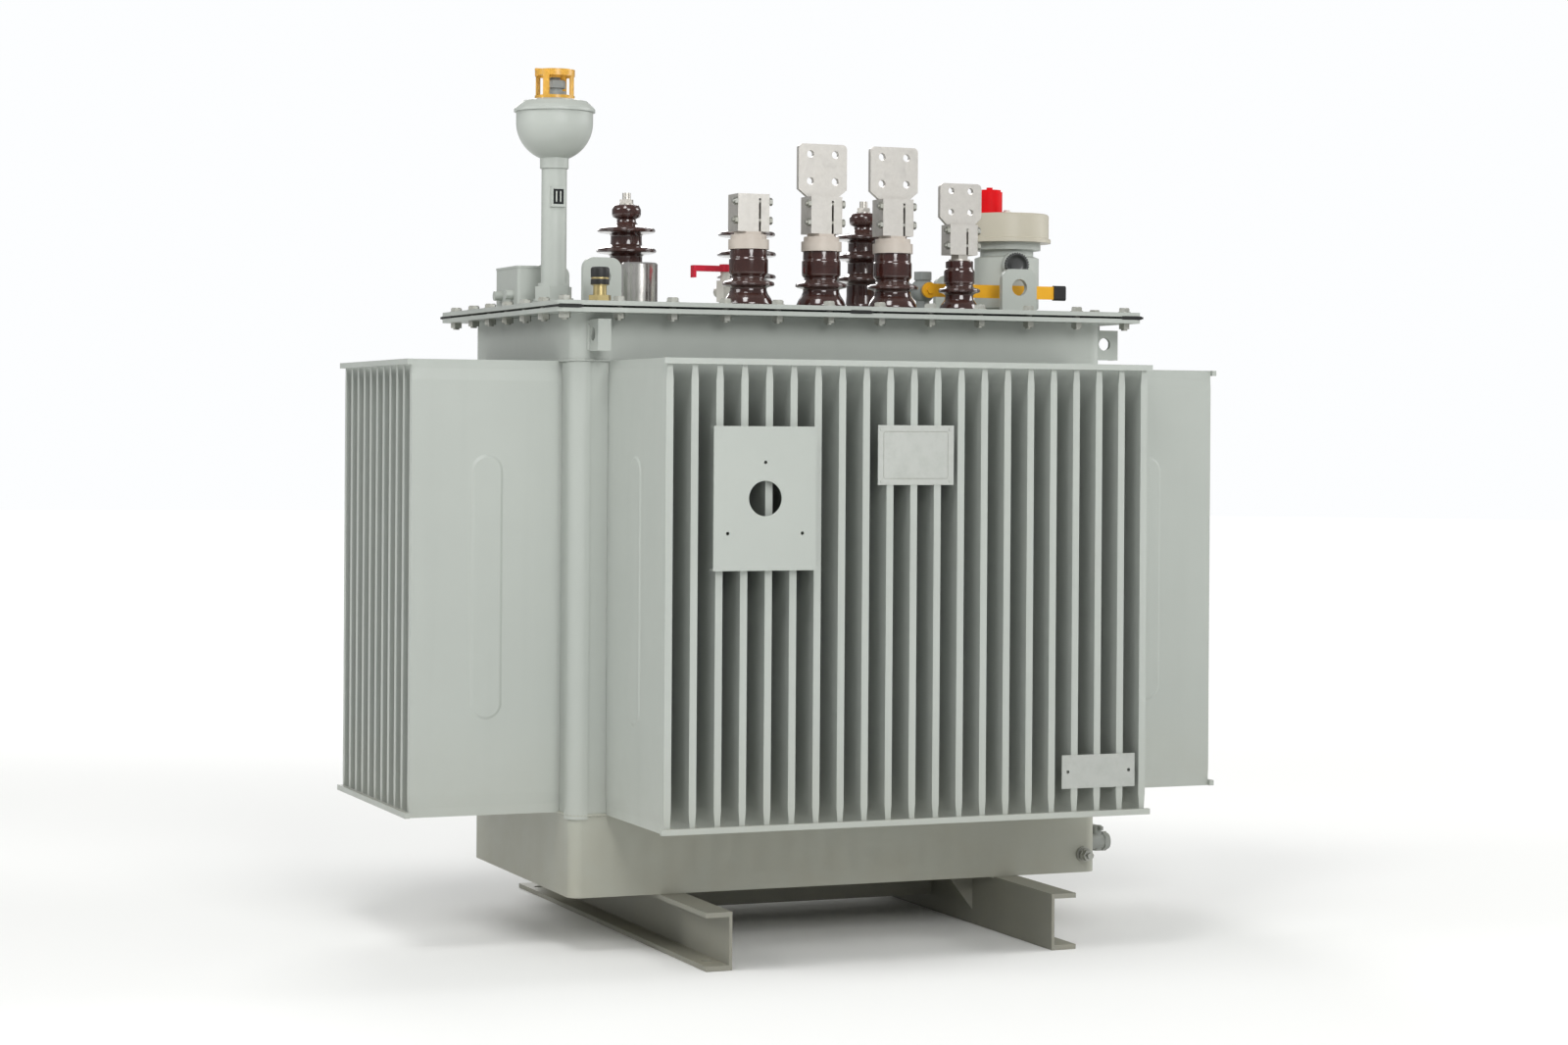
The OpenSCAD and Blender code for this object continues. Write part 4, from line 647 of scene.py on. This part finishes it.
class PressFinBeads(bpy.types.Operator):
    """Presses the long stiffening beads into the outermost fins"""

    bl_idname = "transformer.press_fin_beads"
    bl_label = "Press the fin beads"

    def execute(self, context):
        s = context.scene.transformer_shape
        material = bpy.data.materials["tank_enamel"]
        half_long, half_wide, columns = 0.2035, 0.0245, 64
        # Outer faces of the end fins, and the middle of each fin's depth, front and side walls
        front_face, front_mid = 0.4565, 0.445
        side_face, side_mid = 0.2315, 0.6575
        # Point (i, j) of a bead lies at share i of the way from its middle line to past its rim, in
        # direction j round a stadium; its height falls from full to nothing over the last part of the way.
        angle = np.linspace(0, FULL_TURN, columns, endpoint=False)
        share = np.array([0.0, 0.5, 0.8, 0.9, 0.96, 1.0, 1.05, 1.1, 1.16, 1.24])
        rim = np.sign(np.cos(angle)) * half_long
        across = share[:, None] * half_wide * np.sin(angle)
        along = rim * np.minimum(1, share[:, None] * 4) + share[:, None] * half_wide * np.cos(angle)
        fall = np.clip((share - 0.98) / 0.24, 0, 1)
        height = s.bead_height * (1 - fall * fall * (3 - 2 * fall)) - 0.0002 * fall
        height = np.repeat(height[:, None], columns, axis=1)
        z = FIN_BEAD_CENTRE_Z + along
        faces = grid_faces(len(share), columns, False, True)
        outward, flipped = faces.tolist(), faces[:, ::-1].tolist()
        parts = []
        for side in (-1, 1):
            for y in (-front_mid, front_mid):
                p = np.stack([side * (front_face + height), y + across, z], -1)
                parts.append((p, outward if side > 0 else flipped))
            for x in (-side_mid, side_mid):
                p = np.stack([x + across, side * (side_face + height), z], -1)
                parts.append((p, flipped if side > 0 else outward))
        make_piece("fin_beads", *joined(parts), material, slot="tank_paint")
        return {"FINISHED"}


class LayWelds(bpy.types.Operator):
    """Lays the weld beads of the tank shell, band, lugs and hooks"""

    bl_idname = "transformer.lay_welds"
    bl_label = "Lay the welds"

    def execute(self, context):
        r = context.scene.transformer_shape.weld_radius
        tank, pan = bpy.data.materials["tank_enamel"], bpy.data.materials["pan_enamel"]
        seam = bead_along(rounded_loop(*PAN_SEAM), r, True)
        make_piece("weld_pan_seam", *seam, pan, slot="pan_paint")
        seam = bead_along(rounded_loop(*BAND_SEAM), r * 0.8, True)
        make_piece("weld_band_seam", *seam, tank, slot="tank_paint")

        # Both long sides of each lifting lug's foot, on the cover
        lug_reach, lug_side, cover_z = 0.036, 0.0065, 1.1485
        parts = []
        for x in (-0.42, 0.42):
            for y in (-0.15, 0.15):
                for side in (-1, 1):
                    at = y + side * lug_side
                    run = straight((x - lug_reach, at, cover_z), (x + lug_reach, at, cover_z))
                    parts.append(bead_along(run, r, False))
        # Both upright edges of each hook, on the front and rear of the band and on its right end
        low_z, high_z, band_y, band_x = 1.063, 1.115, 0.2995, 0.5245
        for y in (-1, 1):
            for x in (-0.4935, -0.4845):
                run = straight((x, y * band_y, low_z), (x, y * band_y, high_z))
                parts.append(bead_along(run, r, False, up=(1, 0, 0)))
            for at in (0.2595, 0.2685):
                run = straight((band_x, y * at, low_z), (band_x, y * at, high_z))
                parts.append(bead_along(run, r, False, up=(0, 1, 0)))
        make_piece("weld_lugs_and_hooks", *joined(parts), tank, slot="tank_paint")

        # Short runs where the pan stands on each channel
        channel_z, runs = 0.0995, ((-0.293, -0.215), (0.215, 0.293), (-0.09, -0.03), (0.03, 0.09))
        parts = []
        for x in (-0.3055, 0.3055):
            for start, end in runs:
                run = straight((x, start, channel_z), (x, end, channel_z))
                parts.append(bead_along(run, r, False))
        make_piece("weld_base", *joined(parts), pan, slot="pan_paint")
        return {"FINISHED"}


class FitSightPort(bpy.types.Operator):
    """Fits the knurled dark sight port on the relief turret"""

    bl_idname = "transformer.fit_sight_port"
    bl_label = "Fit the sight port"

    def execute(self, context):
        n = context.scene.transformer_shape.knurls
        # Black moulded plastic with a soft sheen
        dark = moulded("black_port_plastic", linear("#232625"), 0.34, 1.5, 0.1, coat=0.2)
        # Radius against distance along the port: a rim with ridges, then a dished face that ends in one
        # point. A ridge's height is the root of a sine, so its sides are steep.
        reach = np.array([0.0762, 0.0775, 0.0790, 0.0822, 0.0832, 0.0832, 0.0812, 0.0806])
        radius = np.array([0.0205, 0.0228, 0.0235, 0.0235, 0.0225, 0.0185, 0.0170, 0.0100])
        ridged = np.array([0.0, 1.0, 1.0, 1.0, 0.6, 0.0, 0.0, 0.0])
        ridge_height, columns, heading = 0.0011, n * 6, math.radians(-12)
        angle = np.linspace(0, FULL_TURN, columns, endpoint=False)
        wave = np.sin(angle * n)
        r = radius[:, None] + ridged[:, None] * ridge_height * np.sign(wave) * np.abs(wave) ** 0.5
        p = np.stack([r * np.cos(angle), np.repeat(-reach[:, None], columns, 1), r * np.sin(angle)], -1)
        faces = grid_faces(len(reach), columns, False, True).tolist()
        around = np.arange(columns)
        last, tip = (len(reach) - 1) * columns, len(reach) * columns
        fan = [np.full(columns, tip), last + around, last + (around + 1) % columns]
        faces += np.stack(fan, -1).tolist()
        points = np.vstack([p.reshape(-1, 3), [[0, -reach[-1], 0]]])
        turn = np.array(Matrix.Rotation(heading, 3, "Z"))
        points = points @ turn.T + np.array([*middle("relief_disc"), PORT_Z])
        make_piece("sight_port", points, faces, dark, slot="black_grip")
        return {"FINISHED"}


class WindReliefSpring(bpy.types.Operator):
    """Winds the coil spring over the relief disc"""

    bl_idname = "transformer.wind_relief_spring"
    bl_label = "Wind the relief spring"

    def execute(self, context):
        low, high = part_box("relief_spring")
        wire, lift, turns, flat_share = 0.0028, 0.012, 4, 0.12
        radius = (high.x - low.x) / 2 - wire
        centre = middle("relief_spring")
        # A helix whose end turns lie flat: its height rises evenly with the angle between them
        share = np.linspace(0, 1, 240)
        turn = share * turns * FULL_TURN
        rise = np.clip((share - flat_share) / (1 - 2 * flat_share), 0, 1)
        z = low.z + wire + (high.z - low.z - 2 * wire) * rise
        path = np.stack([centre[0] + radius * np.cos(turn), centre[1] + radius * np.sin(turn), z], -1)
        coil = bead_along(path, wire, False, sides=10, uneven=0.0)
        piece = make_piece("relief_coil", *coil, bpy.data.materials["spring_wire"], slot="spring_steel")
        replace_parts(piece, "relief_spring")
        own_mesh(piece)
        return {"FINISHED"}


class FitSmallRubber(bpy.types.Operator):
    """Fits the swollen gasket tabs at the cover's edge and the cap of the thermometer pocket"""

    bl_idname = "transformer.fit_small_rubber"
    bl_label = "Fit gasket tabs and cap"

    def execute(self, context):
        # A tab: half an ellipse of height 7 mm and depth 2.4 mm carried along 46 mm, its ends drawn in
        half_tab, edge_y, depth, half_height = 0.023, 0.3636, 0.0024, 0.0035
        along = np.linspace(-1, 1, 15)
        angle = np.linspace(-math.pi / 2, math.pi / 2, 11)
        draw_in = (1 - along[:, None] ** 8) ** 0.5
        faces = grid_faces(len(along), len(angle), False, True)
        parts = []
        for side in (-1, 1):
            for x in (-0.55, 0.0, 0.55):
                px = x + half_tab * np.repeat(along[:, None], len(angle), axis=1)
                py = side * (edge_y + depth * draw_in * np.cos(angle))
                pz = GASKET_Z + half_height * (0.4 + 0.6 * draw_in) * np.sin(angle)
                parts.append((np.stack([px, py, pz], -1), (faces if side > 0 else faces[:, ::-1]).tolist()))
        rubber = bpy.data.materials["nitrile_gasket_rubber"]
        make_piece("gasket_tabs", *joined(parts), rubber, slot="gasket_rubber")
        # A turned cap with a groove and a chamfered top, over the pocket's head
        cap = [(0.0, 0.0), (0.0150, 0.0), (0.0166, 0.0012), (0.0166, 0.010), (0.0158, 0.011), (0.0158, 0.0135)]
        cap += [(0.0166, 0.0145), (0.0166, 0.0295), (0.0145, 0.0322), (0.0, 0.0325)]
        cap_z = 1.1799
        points, faces = turned(softened(cap, 0.0008, 2), (*middle("thermometer_pocket"), cap_z), 48)
        make_piece("pocket_cap", points, faces, bpy.data.materials["dipped_grip_rubber"], slot="black_grip")
        return {"FINISHED"}


class MarkPlates(bpy.types.Operator):
    """Adds the raised border of the blank plates and the marks of the level window"""

    bl_idname = "transformer.mark_plates"
    bl_label = "Border plates and window"

    def execute(self, context):
        # A border is a thin bead round a rectangle, just proud of the plate
        centre_x, front_y, centre_z = PLATE_CENTRE
        loop = rounded_loop(0.122, 0.081, 0.003, 0.0, step=0.003)
        path = np.stack([centre_x + loop[:, 0], np.full(len(loop), front_y), centre_z + loop[:, 1]], -1)
        border = bead_along(path, 0.0005, True, up=(0, 1, 0), uneven=0.0)
        make_piece("plate_border", *border, bpy.data.materials["zinc_plated_steel"], slot="plate_metal")
        # Pale plain enamel
        pale = moulded("level_mark_enamel", linear("#cfd2cb"), 0.4)
        low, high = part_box("level_window")
        parts = []
        for share in (0.3, 0.7):
            x = low.x + (high.x - low.x) * share
            path = straight((x, low.y, low.z + 0.004), (x, low.y, high.z - 0.004), 0.002)
            parts.append(bead_along(path, 0.0011, False, up=(0, 1, 0), uneven=0.0))
        make_piece("level_marks", *joined(parts), pale, slot="white_plastic")
        return {"FINISHED"}


class SetStage(bpy.types.Operator):
    """Sets the plain floor, the soft lights and the camera"""

    bl_idname = "transformer.set_stage"
    bl_label = "Set the stage"

    def execute(self, context):
        s = context.scene.transformer_studio
        material, tree, shader, place = new_material("plain_floor")
        shader.inputs["Base Color"].default_value = rgba(s.floor)
        shader.inputs["Roughness"].default_value = 0.9
        # Far from the part the floor brightens into the white room
        reach = add(tree, "VectorMath", {"operation": "LENGTH"}, {0: place}).outputs["Value"]
        fade = {"Value": reach, "From Min": 2.5, "From Max": 9.0, "To Min": 0.0, "To Max": 0.75}
        far = add(tree, "MapRange", {"interpolation_type": "SMOOTHSTEP"}, fade)
        tree.links.new(far.outputs[0], shader.inputs["Emission Strength"])
        shader.inputs["Emission Color"].default_value = (1.0, 1.0, 1.0, 1.0)
        # A disc: rings of growing radius at floor level
        p, f = turned([(30.0, 0.0), (6.0, 0.0), (0.0, 0.0)], (0, 0, -0.0005), 64)
        mesh = bpy.data.meshes.new("floor")
        mesh.from_pydata(p.tolist(), [], f)
        mesh.materials.append(material)
        floor = bpy.data.objects.new("floor", mesh)
        context.scene.collection.objects.link(floor)

        world = bpy.data.worlds.new("even_light")
        world.use_nodes = True
        sky = world.node_tree.nodes["Background"]
        sky.inputs["Color"].default_value = (0.98, 0.99, 1.0, 1.0)
        # The room is white to the eye but gives only part of the light
        seen = add(world.node_tree, "LightPath").outputs["Is Camera Ray"]
        strength = ramp(world.node_tree, seen, 0.0, 1.0, s.sky, 1.0)
        world.node_tree.links.new(strength, sky.inputs["Strength"])
        context.scene.world = world

        lights = (
            ("front_softbox", (-0.5, -6.0, 3.4), (0.0, 0.0, 0.8), 3.0, s.key * 0.84),
            ("left_softbox", (-5.6, 0.2, 3.8), (0.0, 0.0, 0.8), 3.0, s.key * 0.52),
            ("top_softbox", (-1.9, -2.2, 4.9), (0.0, 0.0, 1.0), 1.6, s.key * 0.26),
            ("right_softbox", (5.4, -0.6, 3.4), (0.0, 0.0, 0.8), 3.0, s.fill),
            ("rear_softbox", (1.0, 5.6, 3.6), (0.0, 0.0, 0.9), 3.0, s.fill),
        )
        for name, at, towards, size, power in lights:
            lamp = bpy.data.lights.new(name, "AREA")
            lamp.shape, lamp.size, lamp.energy = "DISK", size, power
            lamp_object = bpy.data.objects.new(name, lamp)
            back = np.asarray(at) - np.asarray(towards)
            back /= np.linalg.norm(back)
            right = np.cross((0, 0, 1), back)
            right /= np.linalg.norm(right)
            up = np.cross(back, right)
            lamp_object.matrix_world = aimed(at, right, up, back)
            context.scene.collection.objects.link(lamp_object)

        camera = bpy.data.cameras.new("camera")
        camera.lens, camera.sensor_width = s.lens, 36.0
        camera.shift_y = -0.058
        camera.clip_end = 100.0
        camera_object = bpy.data.objects.new("camera", camera)
        level_right = np.array([math.cos(s.turn), -math.sin(s.turn), 0.0])
        level_up = np.array([0.0, 0.0, 1.0])
        ahead = np.array([math.sin(s.turn), math.cos(s.turn), 0.0])
        right = math.cos(s.tilt) * level_right + math.sin(s.tilt) * level_up
        up = math.cos(s.tilt) * level_up - math.sin(s.tilt) * level_right
        camera_object.matrix_world = aimed(s.eye, right, up, -ahead)
        context.scene.collection.objects.link(camera_object)
        context.scene.camera = camera_object
        context.scene.view_settings.view_transform = "Standard"
        return {"FINISHED"}


class TransformerPanel(bpy.types.Panel):
    """Lists the pieces in the order they are made"""

    bl_idname = "VIEW3D_PT_transformer"
    bl_label = "Oil transformer"
    bl_space_type = "VIEW_3D"
    bl_region_type = "UI"
    bl_category = "Transformer"

    def draw(self, context):
        for operator in OPERATORS:
            self.layout.operator(operator.bl_idname)
        scene = context.scene
        for group in (scene.transformer_finish, scene.transformer_shape, scene.transformer_studio):
            for name in group.__annotations__:
                self.layout.prop(group, name)


OPERATORS = (
    EnamelTank,
    FinishMetals,
    FinishMouldings,
    TurnPorcelains,
    PressFinBeads,
    LayWelds,
    FitSightPort,
    WindReliefSpring,
    FitSmallRubber,
    MarkPlates,
    SetStage,
)
GROUPS = (TransformerFinish, TransformerShape, StudioSettings)


def register():
    """Registers the settings, operators and panel."""
    for cls in (*GROUPS, *OPERATORS, TransformerPanel):
        bpy.utils.register_class(cls)
    bpy.types.Scene.transformer_finish = PointerProperty(type=TransformerFinish)
    bpy.types.Scene.transformer_shape = PointerProperty(type=TransformerShape)
    bpy.types.Scene.transformer_studio = PointerProperty(type=StudioSettings)


def unregister():
    """Removes what register added."""
    del bpy.types.Scene.transformer_finish
    del bpy.types.Scene.transformer_shape
    del bpy.types.Scene.transformer_studio
    for cls in reversed((*GROUPS, *OPERATORS, TransformerPanel)):
        bpy.utils.unregister_class(cls)


def main():
    """Makes every piece in order."""
    register()
    bpy.ops.transformer.enamel_tank()
    bpy.ops.transformer.finish_metals()
    bpy.ops.transformer.finish_mouldings()
    bpy.ops.transformer.turn_porcelains()
    bpy.ops.transformer.press_fin_beads()
    bpy.ops.transformer.lay_welds()
    bpy.ops.transformer.fit_sight_port()
    bpy.ops.transformer.wind_relief_spring()
    bpy.ops.transformer.fit_small_rubber()
    bpy.ops.transformer.mark_plates()
    bpy.ops.transformer.set_stage()


if __name__ == "__main__":
    main()
